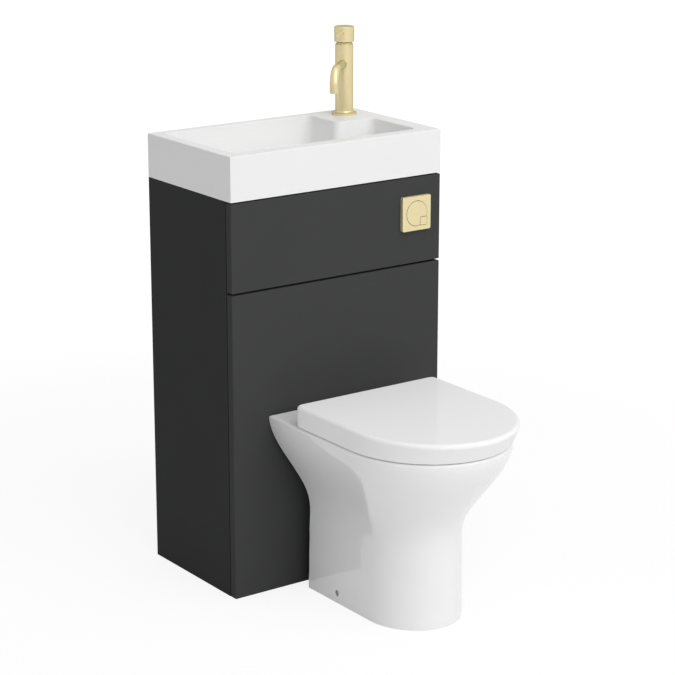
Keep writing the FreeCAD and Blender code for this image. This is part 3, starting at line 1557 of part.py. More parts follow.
def lid():
    """Wrap-over lid: a raked D-shaped shell, with ears for the pins and windows for the posts."""
    low, high = number(s.rim_height + s.seat_seam), number(s.rim_height + s.seat_seam + s.lid_depth)
    outside = Part.makeLoft([lid_outline(low), lid_outline(high)], True, True)
    top_edges = [edge for edge in outside.Edges if is_level_at(edge, high)]
    outside = outside.makeFillet(number(s.lid_edge_round), top_edges)
    ceiling = high - number(s.lid_top)
    wall = number(s.lid_wall)
    inside = Part.makeLoft([lid_outline(low, wall), lid_outline(ceiling, wall)], True, True)
    windows = [lid_window(side, low, ceiling) for side in SIDES]
    ear = number(s.hinge_ear_radius)
    arm_low = V(0, number(hinge_y) - ear, number(hinge_z))
    arm_high = V(0, number(hinge_y) + ear, ceiling + number(s.lap))
    rings, holes = hinge_ears(False, arm_low, arm_high)
    rings = [piece.common(outside) for piece in rings]
    obj = doc.addObject("Part::Feature", "lid")
    obj.Shape = outside.cut([inside] + windows).fuse(rings).cut(holes).removeSplitter()
    obj.Placement = FreeCAD.Placement()
    part(obj, "lid")


def hinge_posts():
    """Posts with a round head on the hinge axis and a stud down through the deck."""
    posts, pins, nuts = [], [], []
    low = s.rim_height
    for side in SIDES:
        name = SIDE_NAMES[side]
        x = s.hinge_spacing / 2 * side
        head = rod_along_x(f"post_head_{name}", s.hinge_post_radius, s.hinge_post_width,
                           (x - s.hinge_post_width / 2, hinge_y, hinge_z))
        block = box(f"post_block_{name}", (x - s.hinge_post_width / 2, hinge_y - s.hinge_post_radius, low),
                    (s.hinge_post_width, s.hinge_post_radius * 2, s.hinge_rise))
        stud = rod(f"post_stud_{name}", s.hinge_stud_radius, s.hinge_stud_length,
                   (x, hinge_y, low - s.hinge_stud_length))
        pin_length = s.hinge_post_width + s.hinge_ear * 2 + s.loose * 4
        pin_start = x - pin_length / 2
        bore = rod_along_x(f"post_bore_{name}", s.hinge_pin_radius + s.running, pin_length,
                           (pin_start, hinge_y, hinge_z))
        posts.append(cut(f"post_{name}", join(f"post_solid_{name}", [head, block, stud]), [bore]))
        pins.append(rod_along_x(f"pin_{name}", s.hinge_pin_radius, pin_length, (pin_start, hinge_y, hinge_z)))
        nut_low = low - s.deck_thickness - s.hinge_nut_height
        nut = hexagon(f"hinge_nut_hex_{name}", s.hinge_nut_radius, s.hinge_nut_height, (x, hinge_y, nut_low))
        nut_bore = rod(f"hinge_nut_bore_{name}", s.hinge_stud_radius + s.snug, s.hinge_nut_height,
                       (x, hinge_y, nut_low))
        nuts.append(cut(f"hinge_nut_{name}", nut, [nut_bore]))
    part(group("hinge_posts", posts), "hinge_posts")
    part(group("hinge_pins", pins), "hinge_pins")
    part(group("hinge_nuts", nuts), "hinge_nuts")


def bumper_places():
    """Four places on the ring, between the seat's hole and its outer edge."""
    across = (s.seat_hole_half_width + s.rim_half_width - s.lid_wall) / 2
    rows = (s.seat_hole_rear + s.bumper_radius * 2, s.rim_shoulder + s.bumper_radius * 3)
    return [(across * side, -(s.cabinet_depth + reach)) for reach in rows for side in SIDES]


def bumpers():
    seat_pads, lid_pads = [], []
    seat_top = seat_bottom() + s.seat_thickness
    ceiling = s.rim_height + s.seat_seam + s.lid_depth - s.lid_top
    for index, (x, y) in enumerate(bumper_places()):
        seat_pads.append(rod(f"seat_bumper_{index}", s.bumper_radius, s.seat_lift - s.loose,
                             (x, y, s.rim_height + s.loose)))
        lid_pads.append(rod(f"lid_bumper_{index}", s.bumper_radius, ceiling - seat_top - s.loose,
                            (x, y, seat_top + s.loose)))
    part(group("seat_bumpers", seat_pads), "seat_bumpers")
    part(group("lid_bumpers", lid_pads), "lid_bumpers")


def pan_set():
    pan()
    seat_ring()
    lid()
    hinge_posts()
    bumpers()


# Cistern with its valves and the flush pipe

def cistern_tank():
    low_x = -s.cistern_width / 2
    low_y = -(cistern_back + s.cistern_depth)
    wall, floor = s.cistern_wall, s.cistern_lift
    outer = box("tank_outer", (low_x, low_y, floor), (s.cistern_width, s.cistern_depth, s.cistern_height))
    inner = box("tank_inner", (low_x + wall, low_y + wall, floor + wall),
                (s.cistern_width - wall * 2, s.cistern_depth - wall * 2, s.cistern_height))
    outer = rounded("tank_outer_rounded", outer, BOX_UPRIGHT_EDGES, s.cistern_corner)
    inner = rounded("tank_inner_rounded", inner, BOX_UPRIGHT_EDGES, s.cistern_corner - wall)
    flush_hole = rod("tank_flush_hole", s.flush_tail_radius + s.snug, wall, (ZERO, cistern_y, floor))
    fill_hole = rod("tank_fill_hole", s.fill_neck_radius + s.snug, wall, (fill_x, cistern_y, floor))
    screw_holes = []
    screw_z = cistern_top - s.cistern_screw_drop
    for side in SIDES:
        at = (s.cistern_screw_spacing / 2 * side, -cistern_back - wall, screw_z)
        screw_holes.append(rod_along_y(f"tank_screw_hole_{SIDE_NAMES[side]}", s.cistern_screw_radius + s.snug,
                                       wall, at))
    part(cut("cistern_tank", outer, [inner, flush_hole, fill_hole] + screw_holes), "cistern_tank")


def cistern_lid():
    low_x = -s.cistern_width / 2
    low_y = -(cistern_back + s.cistern_depth)
    plate = box("cover_plate", (low_x, low_y, cistern_top), (s.cistern_width, s.cistern_depth, s.cistern_lid))
    plate = rounded("cover_rounded", plate, BOX_UPRIGHT_EDGES, s.cistern_corner)
    gap = s.cistern_wall + s.loose
    lip_low = cistern_top - s.cistern_lid_lip
    lip = box("cover_lip", (low_x + gap, low_y + gap, lip_low),
              (s.cistern_width - gap * 2, s.cistern_depth - gap * 2, s.cistern_lid_lip))
    lip = rounded("cover_lip_rounded", lip, BOX_UPRIGHT_EDGES, s.cistern_corner - gap)
    gap = gap + s.cistern_lid
    space = box("cover_space", (low_x + gap, low_y + gap, lip_low),
                (s.cistern_width - gap * 2, s.cistern_depth - gap * 2, s.cistern_lid_lip))
    part(cut("cistern_lid", join("cover_with_lip", [plate, lip]), [space]), "cistern_lid")


def cistern_screws():
    screws = []
    head = s.cistern_screw_radius * 2
    inner_face = -cistern_back - s.cistern_wall
    length = s.cistern_wall + s.rail_board - s.loose * 2
    profile = [(ZERO, -s.cistern_screw_radius), (head, -s.cistern_screw_radius), (head, ZERO),
               (s.cistern_screw_radius, ZERO), (s.cistern_screw_radius, length), (ZERO, length)]
    for side in SIDES:
        at = (s.cistern_screw_spacing / 2 * side, inner_face, cistern_top - s.cistern_screw_drop)
        screws.append(turned(f"cistern_screw_{SIDE_NAMES[side]}", profile, at, X_AXIS, -QUARTER_TURN))
    return screws


def fill_valve():
    """Bottom-entry fill valve: shank, flange, riser with a stop collar, and valve head."""
    floor = s.cistern_wall
    low = floor - s.fill_shank
    stop = floor + s.float_rest
    head = floor + s.fill_riser_height
    collar = s.fill_riser_radius + s.fill_flange
    thread_top = low + s.fill_thread
    profile = [(s.fill_bore, low), (s.fill_shank_radius, low), (s.fill_shank_radius, thread_top),
               (s.fill_neck_radius, thread_top), (s.fill_neck_radius, floor),
               (s.fill_flange_radius, floor), (s.fill_flange_radius, floor + s.fill_flange),
               (s.fill_riser_radius, floor + s.fill_flange), (s.fill_riser_radius, stop - s.fill_flange),
               (collar, stop - s.fill_flange), (collar, stop), (s.fill_riser_radius, stop),
               (s.fill_riser_radius, head), (s.fill_head_radius, head),
               (s.fill_head_radius, head + s.fill_head_height), (ZERO, head + s.fill_head_height),
               (ZERO, head), (s.fill_bore, head - s.fill_bore)]
    at = (fill_x, cistern_y, s.cistern_lift)
    part(turned("fill_valve", profile, at), "fill_valve")
    inner = s.fill_riser_radius + s.loose
    low = stop + s.loose
    wall = s.fill_flange / 2
    profile = [(inner, low), (inner + wall, low), (inner + wall, low + s.float_height - wall),
               (s.float_radius - wall, low + s.float_height - wall), (s.float_radius - wall, low),
               (s.float_radius, low), (s.float_radius, low + s.float_height), (inner, low + s.float_height)]
    part(turned("fill_float", profile, at), "fill_float")
    nut_low = s.cistern_lift - s.fill_nut_height
    nut = hexagon("fill_nut_hex", s.fill_nut_radius, s.fill_nut_height, (fill_x, cistern_y, nut_low))
    bore = rod("fill_nut_bore", s.fill_neck_radius + s.snug, s.fill_nut_height, (fill_x, cistern_y, nut_low))
    part(cut("fill_backnut", nut, [bore]), "fill_backnut")


def flush_seat_height():
    return s.cistern_wall + s.flush_flange


def flush_valve_body():
    """Flush valve: threaded tail, flange with the seat, and a tower with windows round it."""
    bore = s.flush_pipe_radius + s.loose
    floor = s.cistern_wall
    seat = flush_seat_height()
    inner = s.flush_tower_radius - s.flush_tower_wall
    top = seat + s.flush_tower_height
    guide = s.plunger_tube_radius + s.loose
    profile = [(bore, floor - s.flush_tail), (s.flush_tail_radius, floor - s.flush_tail),
               (s.flush_tail_radius, floor), (s.flush_flange_radius, floor), (s.flush_flange_radius, seat),
               (s.flush_tower_radius, seat), (s.flush_tower_radius, top), (guide, top),
               (guide, top - s.flush_tower_wall), (inner, top - s.flush_tower_wall), (inner, seat),
               (bore, seat)]
    body = turned("flush_valve_body", profile, (ZERO, cistern_y, s.cistern_lift))
    window = new_sketch(body, "flush_window", "XZ_Plane")
    low = seat + s.flush_flange
    rectangle(window, -s.flush_window_width / 2, low, s.flush_window_width / 2, low + s.flush_window_height)
    opening = pocket(body, window, s.flush_tower_radius + s.loose, True)
    doc.recompute()
    pattern = body.newObject("PartDesign::PolarPattern", "flush_windows")
    pattern.Originals = [opening]
    pattern.Axis = (window, ["V_Axis"])
    pattern.Angle = FULL_TURN
    pattern.Occurrences = 4
    body.Tip = pattern
    part(body, "flush_valve_body")


def flush_valve_plunger():
    """Overflow tube on a disc, with the rubber seal under the disc."""
    seat = flush_seat_height() + s.loose
    disc = seat + s.seal_thickness
    inner = s.plunger_tube_radius - s.plunger_tube_wall
    top = disc + s.plunger_tube_height
    profile = [(inner, disc), (s.plunger_disc_radius, disc), (s.plunger_disc_radius, disc + s.plunger_disc),
               (s.plunger_tube_radius, disc + s.plunger_disc), (s.plunger_tube_radius, top), (inner, top)]
    at = (ZERO, cistern_y, s.cistern_lift)
    part(turned("flush_valve_plunger", profile, at), "flush_valve_plunger")
    part(ring("flush_valve_seal", s.seal_radius, inner, s.seal_thickness,
              (ZERO, cistern_y, s.cistern_lift + seat)), "flush_valve_seal")
    nut_low = s.cistern_lift - s.flush_nut_height
    nut = hexagon("flush_nut_hex", s.flush_nut_radius, s.flush_nut_height, (ZERO, cistern_y, nut_low))
    bore = rod("flush_nut_bore", s.flush_tail_radius + s.snug, s.flush_nut_height, (ZERO, cistern_y, nut_low))
    part(cut("flush_valve_backnut", nut, [bore]), "flush_valve_backnut")


def flush_pipe():
    """Bent pipe from the flush valve's tail down and forward into the pan's inlet."""
    top = number(s.cistern_lift - s.flush_nut_height / 2)
    height, y = number(s.inlet_height), number(cistern_y)
    end = -number(s.cabinet_depth + s.inlet_depth - s.loose)
    path = bent_path([V(0, y, top), V(0, y, height), V(0, end, height)], number(s.flush_pipe_bend))
    radius = number(s.flush_pipe_radius)
    tube = swept_round(path, radius).cut(swept_round(path, radius - number(s.flush_pipe_wall)))
    obj = doc.addObject("Part::Feature", "flush_pipe")
    obj.Shape = tube
    obj.Placement = FreeCAD.Placement()
    part(obj, "flush_pipe")
    end_y = -(s.cabinet_depth + s.inlet_depth - s.loose)
    part(ring("flush_cone", s.inlet_radius - s.snug, s.flush_pipe_radius + s.snug, s.flush_cone_length,
              (ZERO, end_y, s.inlet_height), X_AXIS, -QUARTER_TURN), "flush_cone")


def cistern_set():
    cistern_tank()
    cistern_lid()
    fill_valve()
    flush_valve_body()
    flush_valve_plunger()
    flush_pipe()


def fixing_screws():
    """The screws that hold the pan to its brackets and the cistern to its rail."""
    part(group("fixing_screws", pan_fixings() + cistern_screws()), "fixing_screws")


def check_objects():
    """Stops if any object failed or any sub-part has no valid shape."""
    for obj in doc.Objects:
        if "Invalid" in obj.State or "Error" in obj.State:
            raise RuntimeError(f"{obj.Name} failed: {obj.State}")
    for obj in sub_parts:
        if obj.Shape.isNull() or not obj.Shape.isValid() or not obj.Shape.Solids:
            raise RuntimeError(f"{obj.Label} has no valid solid")


def write_parts():
    os.makedirs("parts", exist_ok=True)
    for obj in sub_parts:
        obj.Shape.exportStep(os.path.join("parts", f"{obj.Label}.step"))


cabinet()
basin_set()
tap_set()
flush_controls()
pan_set()
cistern_set()
fixing_screws()
doc.recompute()
check_objects()
write_parts()
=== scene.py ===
"""Looks for the combined toilet and basin unit: materials, small details, light and camera."""

import math

import bmesh
import bpy
from mathutils import Matrix, Vector


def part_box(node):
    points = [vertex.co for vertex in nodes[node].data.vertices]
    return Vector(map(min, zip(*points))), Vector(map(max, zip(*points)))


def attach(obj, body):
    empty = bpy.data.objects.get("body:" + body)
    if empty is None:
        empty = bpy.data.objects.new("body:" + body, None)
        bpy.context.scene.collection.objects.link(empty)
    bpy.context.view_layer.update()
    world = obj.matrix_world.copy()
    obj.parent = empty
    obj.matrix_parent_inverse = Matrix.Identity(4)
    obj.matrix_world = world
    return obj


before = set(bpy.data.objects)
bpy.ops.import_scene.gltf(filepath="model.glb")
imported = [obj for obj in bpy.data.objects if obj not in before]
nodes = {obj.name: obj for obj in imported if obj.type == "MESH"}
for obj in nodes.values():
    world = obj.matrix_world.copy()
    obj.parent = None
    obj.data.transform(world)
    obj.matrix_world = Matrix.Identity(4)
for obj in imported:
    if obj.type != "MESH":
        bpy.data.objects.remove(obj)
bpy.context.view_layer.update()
scene = bpy.context.scene
scene.view_settings.view_transform = "Standard"


# Node helpers

# The colour sockets of a Mix node, by their place in its lists
MIX_FIRST_COLOR = 6
MIX_SECOND_COLOR = 7
MIX_RESULT_COLOR = 2


def principled(name, **values):
    """A new material with its Principled shader's sockets set directly."""
    material = bpy.data.materials.new(name)
    material.use_nodes = True
    shader = shader_of(material)
    for socket, value in values.items():
        shader.inputs[socket.replace("_", " ")].default_value = value
    return material


def shader_of(material):
    return material.node_tree.nodes["Principled BSDF"]


def add_node(material, kind, **settings):
    node = material.node_tree.nodes.new(kind)
    for key, value in settings.items():
        setattr(node, key, value)
    return node


def link(material, output, target):
    material.node_tree.links.new(output, target)


def coords(material, stretch):
    """Coordinates in the part's own frame, in metres, stretched along its axes."""
    source = add_node(material, "ShaderNodeTexCoord")
    mapping = add_node(material, "ShaderNodeMapping")
    mapping.inputs["Scale"].default_value = stretch
    link(material, source.outputs["Object"], mapping.inputs["Vector"])
    return mapping.outputs["Vector"]


def noise(material, scale=1.0, detail=3.0, stretch=(1, 1, 1), roughness=0.55):
    node = add_node(material, "ShaderNodeTexNoise")
    node.inputs["Scale"].default_value = scale
    node.inputs["Detail"].default_value = detail
    node.inputs["Roughness"].default_value = roughness
    link(material, coords(material, stretch), node.inputs["Vector"])
    return node.outputs["Fac"]


def cell_colors(material, scale, stretch):
    node = add_node(material, "ShaderNodeTexVoronoi")
    node.inputs["Scale"].default_value = scale
    link(material, coords(material, stretch), node.inputs["Vector"])
    return node.outputs["Color"]


def remap(material, value, source, target):
    """Maps a value from the source range to the target range and keeps it inside."""
    node = add_node(material, "ShaderNodeMapRange")
    for socket, number in zip(("From Min", "From Max", "To Min", "To Max"), (*source, *target)):
        node.inputs[socket].default_value = number
    link(material, value, node.inputs["Value"])
    return node.outputs["Result"]


def math_node(material, operation, first, second):
    node = add_node(material, "ShaderNodeMath", operation=operation)
    for socket, value in zip(node.inputs, (first, second)):
        if isinstance(value, (int, float)):
            socket.default_value = value
        else:
            link(material, value, socket)
    return node.outputs["Value"]


def mix_color(material, factor, first, second):
    node = add_node(material, "ShaderNodeMix", data_type="RGBA")
    link(material, factor, node.inputs["Factor"])
    for place, value in ((MIX_FIRST_COLOR, first), (MIX_SECOND_COLOR, second)):
        if isinstance(value, tuple):
            node.inputs[place].default_value = (*value, 1.0)
        else:
            link(material, value, node.inputs[place])
    return node.outputs[MIX_RESULT_COLOR]


def set_color(material, color):
    link(material, color, shader_of(material).inputs["Base Color"])


def set_roughness(material, value):
    link(material, value, shader_of(material).inputs["Roughness"])


def set_bump(material, height, strength, distance):
    node = add_node(material, "ShaderNodeBump")
    node.inputs["Strength"].default_value = strength
    node.inputs["Distance"].default_value = distance
    link(material, height, node.inputs["Height"])
    link(material, node.outputs["Normal"], shader_of(material).inputs["Normal"])


def shade(color, factor):
    return tuple(min(1.0, channel * factor) for channel in color)


def mottled(material, factor, color, darkest, lightest):
    """A colour that varies with a factor between two shades of itself."""
    return mix_color(material, factor, shade(color, darkest), shade(color, lightest))


def spread(middle, share):
    """The range round a value, given as a share of it."""
    return middle * (1 - share), middle * (1 + share)


def face_direction(material, axis):
    """How far the surface faces along one axis of the part's own frame, from -1 to 1."""
    source = add_node(material, "ShaderNodeTexCoord")
    split = add_node(material, "ShaderNodeSeparateXYZ")
    link(material, source.outputs["Normal"], split.inputs["Vector"])
    return split.outputs[axis]


# Materials

# Ranges that hold most of a noise's values, and nearly all of them
NOISE_BODY = (0.3, 0.7)
NOISE_WIDE = (0.2, 0.8)


def moulded(name, color, roughness, coat=0.0, grain=900.0, depth=0.00002, mottling=0.03):
    """Moulded plastic or rubber: faint mottling, uneven gloss and a fine moulded grain."""
    material = principled(name, Coat_Weight=coat, Coat_Roughness=0.08)
    cloud = noise(material, scale=14.0, detail=4.0)
    set_color(material, mottled(material, cloud, color, darkest=1 - mottling, lightest=1 + mottling))
    gloss = noise(material, scale=60.0)
    set_roughness(material, remap(material, gloss, NOISE_BODY, spread(roughness, share=0.12)))
    set_bump(material, noise(material, scale=grain, detail=2.0), strength=0.35, distance=depth)
    return material


def glazed(name, color, roughness, coat, coat_roughness, ripple, specular=0.06):
    """Glazed ceramic, cast mineral or gloss seat plastic: a soft ripple under a thin clear gloss."""
    material = principled(name, Coat_Weight=coat, Coat_Roughness=coat_roughness, Specular_IOR_Level=specular)
    cloud = noise(material, scale=9.0)
    set_color(material, mottled(material, cloud, color, darkest=0.985, lightest=1.01))
    gloss = noise(material, scale=12.0, detail=1.0)
    set_roughness(material, remap(material, gloss, NOISE_BODY, spread(roughness, share=0.05)))
    set_bump(material, noise(material, scale=7.0, detail=0.0), strength=0.25, distance=ripple)
    return material


BRUSH_CONTRAST = 0.03
BRUSH_DEPTH = 0.000003


def brushed(name, color, roughness, stretch, metal=1.0, edge=0.3):
    """Brushed metal with fine lines along one direction and a slight cloudiness, satin below metal 1."""
    material = principled(name, Metallic=metal, Specular_Tint=(*shade(color, edge), 1.0))
    lines = noise(material, stretch=stretch, roughness=0.6)
    cloud = noise(material, scale=24.0)
    streaks = remap(material, lines, source=(0.25, 0.75), target=(0.0, 1.0))
    base = mottled(material, streaks, color, darkest=1 - BRUSH_CONTRAST, lightest=1 + BRUSH_CONTRAST)
    haze = remap(material, cloud, NOISE_BODY, target=(0.0, 0.3))
    set_color(material, mix_color(material, haze, base, shade(color, 0.95)))
    fine = remap(material, lines, NOISE_WIDE, target=(-BRUSH_CONTRAST, BRUSH_CONTRAST))
    broad = remap(material, cloud, NOISE_WIDE, target=(-0.02, 0.02))
    uneven = math_node(material, "ADD", fine, broad)
    set_roughness(material, math_node(material, "ADD", uneven, roughness))
    set_bump(material, lines, strength=0.3, distance=BRUSH_DEPTH)
    return material


def polished(name, color, roughness):
    """Plated metal with a nearly even shine."""
    material = principled(name, Metallic=1.0)
    cloud = noise(material, scale=40.0, detail=4.0)
    set_color(material, mottled(material, cloud, color, darkest=0.96, lightest=1.03))
    shine = (roughness * 0.6, roughness * 1.6)
    set_roughness(material, remap(material, cloud, source=(0.3, 0.75), target=shine))
    set_bump(material, noise(material, scale=300.0, detail=2.0), strength=0.08, distance=0.00001)
    return material


def wood(name, color):
    """Turned beech: growth lines along the piece with short darker flecks."""
    material = principled(name)
    grain = noise(material, detail=4.0, stretch=(30.0, 420.0, 420.0))
    streaks = noise(material, detail=1.0, stretch=(150.0, 1500.0, 1500.0))
    flecks = remap(material, streaks, source=(0.58, 0.66), target=(0.0, 0.6))
    base = mottled(material, grain, color, darkest=0.78, lightest=1.16)
    set_color(material, mix_color(material, flecks, base, shade(color, 0.55)))
    set_roughness(material, remap(material, grain, NOISE_BODY, target=(0.5, 0.65)))
    set_bump(material, grain, strength=0.3, distance=0.00004)
    return material


CHIP_LIGHT = (0.48, 0.36, 0.22)
CHIP_DARK = (0.22, 0.15, 0.09)
CHIP_ROUGHNESS = 0.85
# A face counts as an edge of the board when it faces this far along the edge's direction.
EDGE_FACING = 0.9


def chipboard(material):
    """Pressed chips, as they show on an edge that carries no facing."""
    chips = cell_colors(material, scale=330.0, stretch=(1.0, 1.0, 1.6))
    split = add_node(material, "ShaderNodeSeparateColor")
    link(material, chips, split.inputs["Color"])
    return mix_color(material, split.outputs["Red"], CHIP_DARK, CHIP_LIGHT)


def faced_board(name, color, roughness, core_axes):
    """Lacquered board whose edges along the given directions show the chipboard core."""
    material = principled(name, Specular_IOR_Level=0.006)
    cloud = noise(material, scale=5.0, detail=4.0)
    fine = noise(material, scale=700.0, detail=2.0)
    face = mottled(material, cloud, color, darkest=0.93, lightest=1.07)
    specks = remap(material, fine, source=(0.35, 0.65), target=(0.0, 0.12))
    face = mix_color(material, specks, face, shade(color, 1.5))
    bare = None
    for axis, sign in core_axes:
        toward = math_node(material, "MULTIPLY", face_direction(material, axis), sign)
        edge = math_node(material, "GREATER_THAN", toward, EDGE_FACING)
        bare = edge if bare is None else math_node(material, "MAXIMUM", bare, edge)
    if bare is None:
        set_color(material, face)
        satin = (roughness - 0.06, roughness + 0.06)
        set_roughness(material, remap(material, fine, NOISE_BODY, target=satin))
    else:
        set_color(material, mix_color(material, bare, face, chipboard(material)))
        set_roughness(material, remap(material, bare, source=(0.0, 1.0), target=(roughness, CHIP_ROUGHNESS)))
    set_bump(material, noise(material, scale=1400.0, detail=2.0), strength=0.25, distance=0.00002)
    return material


ANTHRACITE = (0.0545, 0.055, 0.056)
# Painted shade: the side boards have the same anthracite as the fronts, drawn darker here to stand in for the
# weaker light on the sides.
SIDE_ANTHRACITE_PAINTED_SHADE = (0.0405, 0.0408, 0.0414)
# Partly the rails' own anthracite and partly painted shade: drawn darker than the panels so the gaps between
# the panels read as shadow.
RAIL_ANTHRACITE_GAP_SHADE = (0.045, 0.045, 0.047)
WHITE_CAST = (0.84, 0.84, 0.84)
WHITE_CHINA = (0.89, 0.89, 0.89)
WHITE_SEAT = (0.92, 0.92, 0.92)
BRASS = (0.78, 0.68, 0.40)
TAP_BRASS = (0.74, 0.64, 0.375)
BEECH = (0.62, 0.45, 0.27)
CHROME = (0.77, 0.78, 0.80)
STEEL = (0.56, 0.57, 0.58)
BLACK_RUBBER = (0.030, 0.030, 0.031)
PALE_RUBBER = (0.74, 0.74, 0.73)
FITTING_WHITE = (0.79, 0.79, 0.78)
TANK_WHITE = (0.70, 0.71, 0.72)
VALVE_BLUE = (0.07, 0.20, 0.42)
CAP_GREY = (0.26, 0.26, 0.265)
PLASTIC_BLACK = (0.028, 0.028, 0.030)
CARTRIDGE_WHITE = (0.68, 0.68, 0.66)
CERAMIC_WHITE = (0.82, 0.81, 0.78)

# Brushed lines: a large number packs them close across that axis, a small one draws them out along it.
TAP_BRUSH = (14.0, 14.0, 2600.0)
LEVER_BRUSH = (2600.0, 14.0, 14.0)
PLATE_BRUSH = (14.0, 60.0, 2600.0)
STEEL_BRUSH = (600.0, 600.0, 90.0)

MATERIALS = {
    "side_board": faced_board("side_board", SIDE_ANTHRACITE_PAINTED_SHADE, roughness=0.5, core_axes=[("Y", 1), ("Z", -1)]),
    "front_board": faced_board("front_board", ANTHRACITE, roughness=0.5, core_axes=[]),
    "rail_board": faced_board("rail_board", RAIL_ANTHRACITE_GAP_SHADE, roughness=0.55, core_axes=[("Z", 1), ("Z", -1)]),
    "dowel": wood("dowel", BEECH),
    "mineral_cast": glazed("mineral_cast", WHITE_CAST, roughness=0.38, coat=0.1, coat_roughness=0.05,
                           ripple=0.00003),
    "vitreous_china": glazed("vitreous_china", WHITE_CHINA, roughness=0.3, coat=0.75,
                             coat_roughness=0.03, ripple=0.00006),
    "seat_gloss": glazed("seat_gloss", WHITE_SEAT, roughness=0.3, coat=0.2, coat_roughness=0.008,
                         ripple=0.00002, specular=0.0),
    "brass_tap": brushed("brass_tap", TAP_BRASS, roughness=0.36, stretch=TAP_BRUSH, metal=0.6),
    "brass_grip": brushed("brass_grip", BRASS, roughness=0.34, stretch=LEVER_BRUSH, metal=0.6, edge=0.9),
    "brass_plate": brushed("brass_plate", BRASS, roughness=0.4, stretch=PLATE_BRUSH, metal=0.4),
    "chrome": polished("chrome", CHROME, roughness=0.09),
    "steel": brushed("steel", STEEL, roughness=0.33, stretch=STEEL_BRUSH, edge=0.6),
    "rubber": moulded("rubber", BLACK_RUBBER, roughness=0.72, grain=700.0, depth=0.00004, mottling=0.10),
    "white_rubber": moulded("white_rubber", PALE_RUBBER, roughness=0.6, grain=700.0, depth=0.00003),
    "white_plastic": moulded("white_plastic", FITTING_WHITE, roughness=0.38),
    "tank_plastic": moulded("tank_plastic", TANK_WHITE, roughness=0.45, grain=500.0, depth=0.00005,
                            mottling=0.04),
    "blue_plastic": moulded("blue_plastic", VALVE_BLUE, roughness=0.36),
    "grey_plastic": moulded("grey_plastic", CAP_GREY, roughness=0.5),
    "black_plastic": moulded("black_plastic", PLASTIC_BLACK, roughness=0.45, grain=800.0, depth=0.00004,
                             mottling=0.12),
    "cartridge_shell": moulded("cartridge_shell", CARTRIDGE_WHITE, roughness=0.4),
    "ground_ceramic": moulded("ground_ceramic", CERAMIC_WHITE, roughness=0.25, coat=0.3),
}

LOOKS = {
    "side_board": ["side_panel_left", "side_panel_right"],
    "front_board": ["upper_front_panel", "lower_front_panel"],
    "rail_board": ["front_top_rail", "front_middle_rail", "front_bottom_rail", "rear_top_rail",
                   "rear_middle_rail", "rear_bottom_rail"],
    "dowel": ["rail_dowels"],
    "mineral_cast": ["basin"],
    "vitreous_china": ["pan"],
    "seat_gloss": ["lid", "seat_ring"],
    "grey_plastic": ["pan_screw_caps"],
    "brass_tap": ["tap_body", "tap_spout", "tap_lever_cap", "cartridge_nut", "waste_plug"],
    "brass_grip": ["tap_lever_peg"],
    "brass_plate": ["flush_plate", "full_flush_button", "half_flush_button"],
    "chrome": ["waste_body", "waste_backnut", "hinge_posts"],
    "steel": ["cartridge_spindle", "tap_clamp_plate", "tap_stud", "tap_nut", "fixing_screws", "hinge_pins"],
    "rubber": ["waste_washer", "flush_valve_seal", "flush_cone"],
    "white_rubber": ["seat_bumpers", "lid_bumpers", "tap_gasket"],
    "white_plastic": ["trap_body", "trap_nut", "trap_cup", "fill_valve", "fill_backnut", "flush_valve_body",
                      "flush_valve_backnut", "flush_pipe"],
    "tank_plastic": ["cistern_tank", "cistern_lid", "fill_float"],
    "blue_plastic": ["flush_valve_plunger"],
    "black_plastic": ["panel_clips", "pan_brackets", "hinge_nuts", "button_housing", "housing_nut",
                      "tap_aerator"],
    "cartridge_shell": ["tap_cartridge"],
    "ground_ceramic": ["cartridge_carrier"],
}


def dress_nodes():
    for look, names in LOOKS.items():
        for name in names:
            slots = nodes[name].data.materials
            slots.clear()
            slots.append(MATERIALS[look])


dress_nodes()


# Small details that ride on the fixed body

def new_piece(name, mesh, look):
    obj = bpy.data.objects.new(name, mesh)
    scene.collection.objects.link(obj)
    mesh.materials.append(MATERIALS[look])
    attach(obj, "unit")


def mesh_from(name, points, faces, smooth=True):
    mesh = bpy.data.meshes.new(name)
    mesh.from_pydata([tuple(point) for point in points], [], faces)
    work = bmesh.new()
    work.from_mesh(mesh)
    bmesh.ops.recalc_face_normals(work, faces=work.faces)
    work.to_mesh(mesh)
    work.free()
    for polygon in mesh.polygons:
        polygon.use_smooth = smooth
    return mesh


def swept_tube(rows):
    """Points and faces that join rows of points into a tube with capped ends."""
    count = len(rows[0])
    points = [point for row in rows for point in row]
    faces = []
    for row in range(len(rows) - 1):
        below = row * count
        above = below + count
        for step in range(count):
            after = (step + 1) % count
            faces.append((below + step, below + after, above + after, above + step))
    faces.append(tuple(range(count)))
    faces.append(tuple(range(len(points) - count, len(points))))
    return points, faces


THREAD_STEPS = 28
THREAD_FADE_STEPS = 8.0
THREAD_LEAST_RIDGE = 0.05
# A ridge's section: along the axis in pitches, and outwards in ridge heights
THREAD_SECTION = [(-0.42, -0.25), (-0.12, 1.0), (0.12, 1.0), (0.42, -0.25)]


def thread(name, place, length, radius, pitch, height, look):
    """A screw thread as one helical ridge that fades in and out at its ends."""
    rows = []
    turns = (length - pitch) / pitch
    total = int(turns * THREAD_STEPS)
    for index in range(total + 1):
        angle = 2 * math.pi * index / THREAD_STEPS
        fade = min(1.0, index / THREAD_FADE_STEPS, (total - index) / THREAD_FADE_STEPS)
        ridge = height * max(THREAD_LEAST_RIDGE, fade)
        rise = pitch * index / THREAD_STEPS + pitch / 2
        row = []
        for along, out in THREAD_SECTION:
            reach = radius + ridge * out
            point = Vector((reach * math.cos(angle), reach * math.sin(angle), rise + pitch * along))
            row.append(place @ point)
        rows.append(row)
    points, faces = swept_tube(rows)
    new_piece(name, mesh_from(name, points, faces), look)


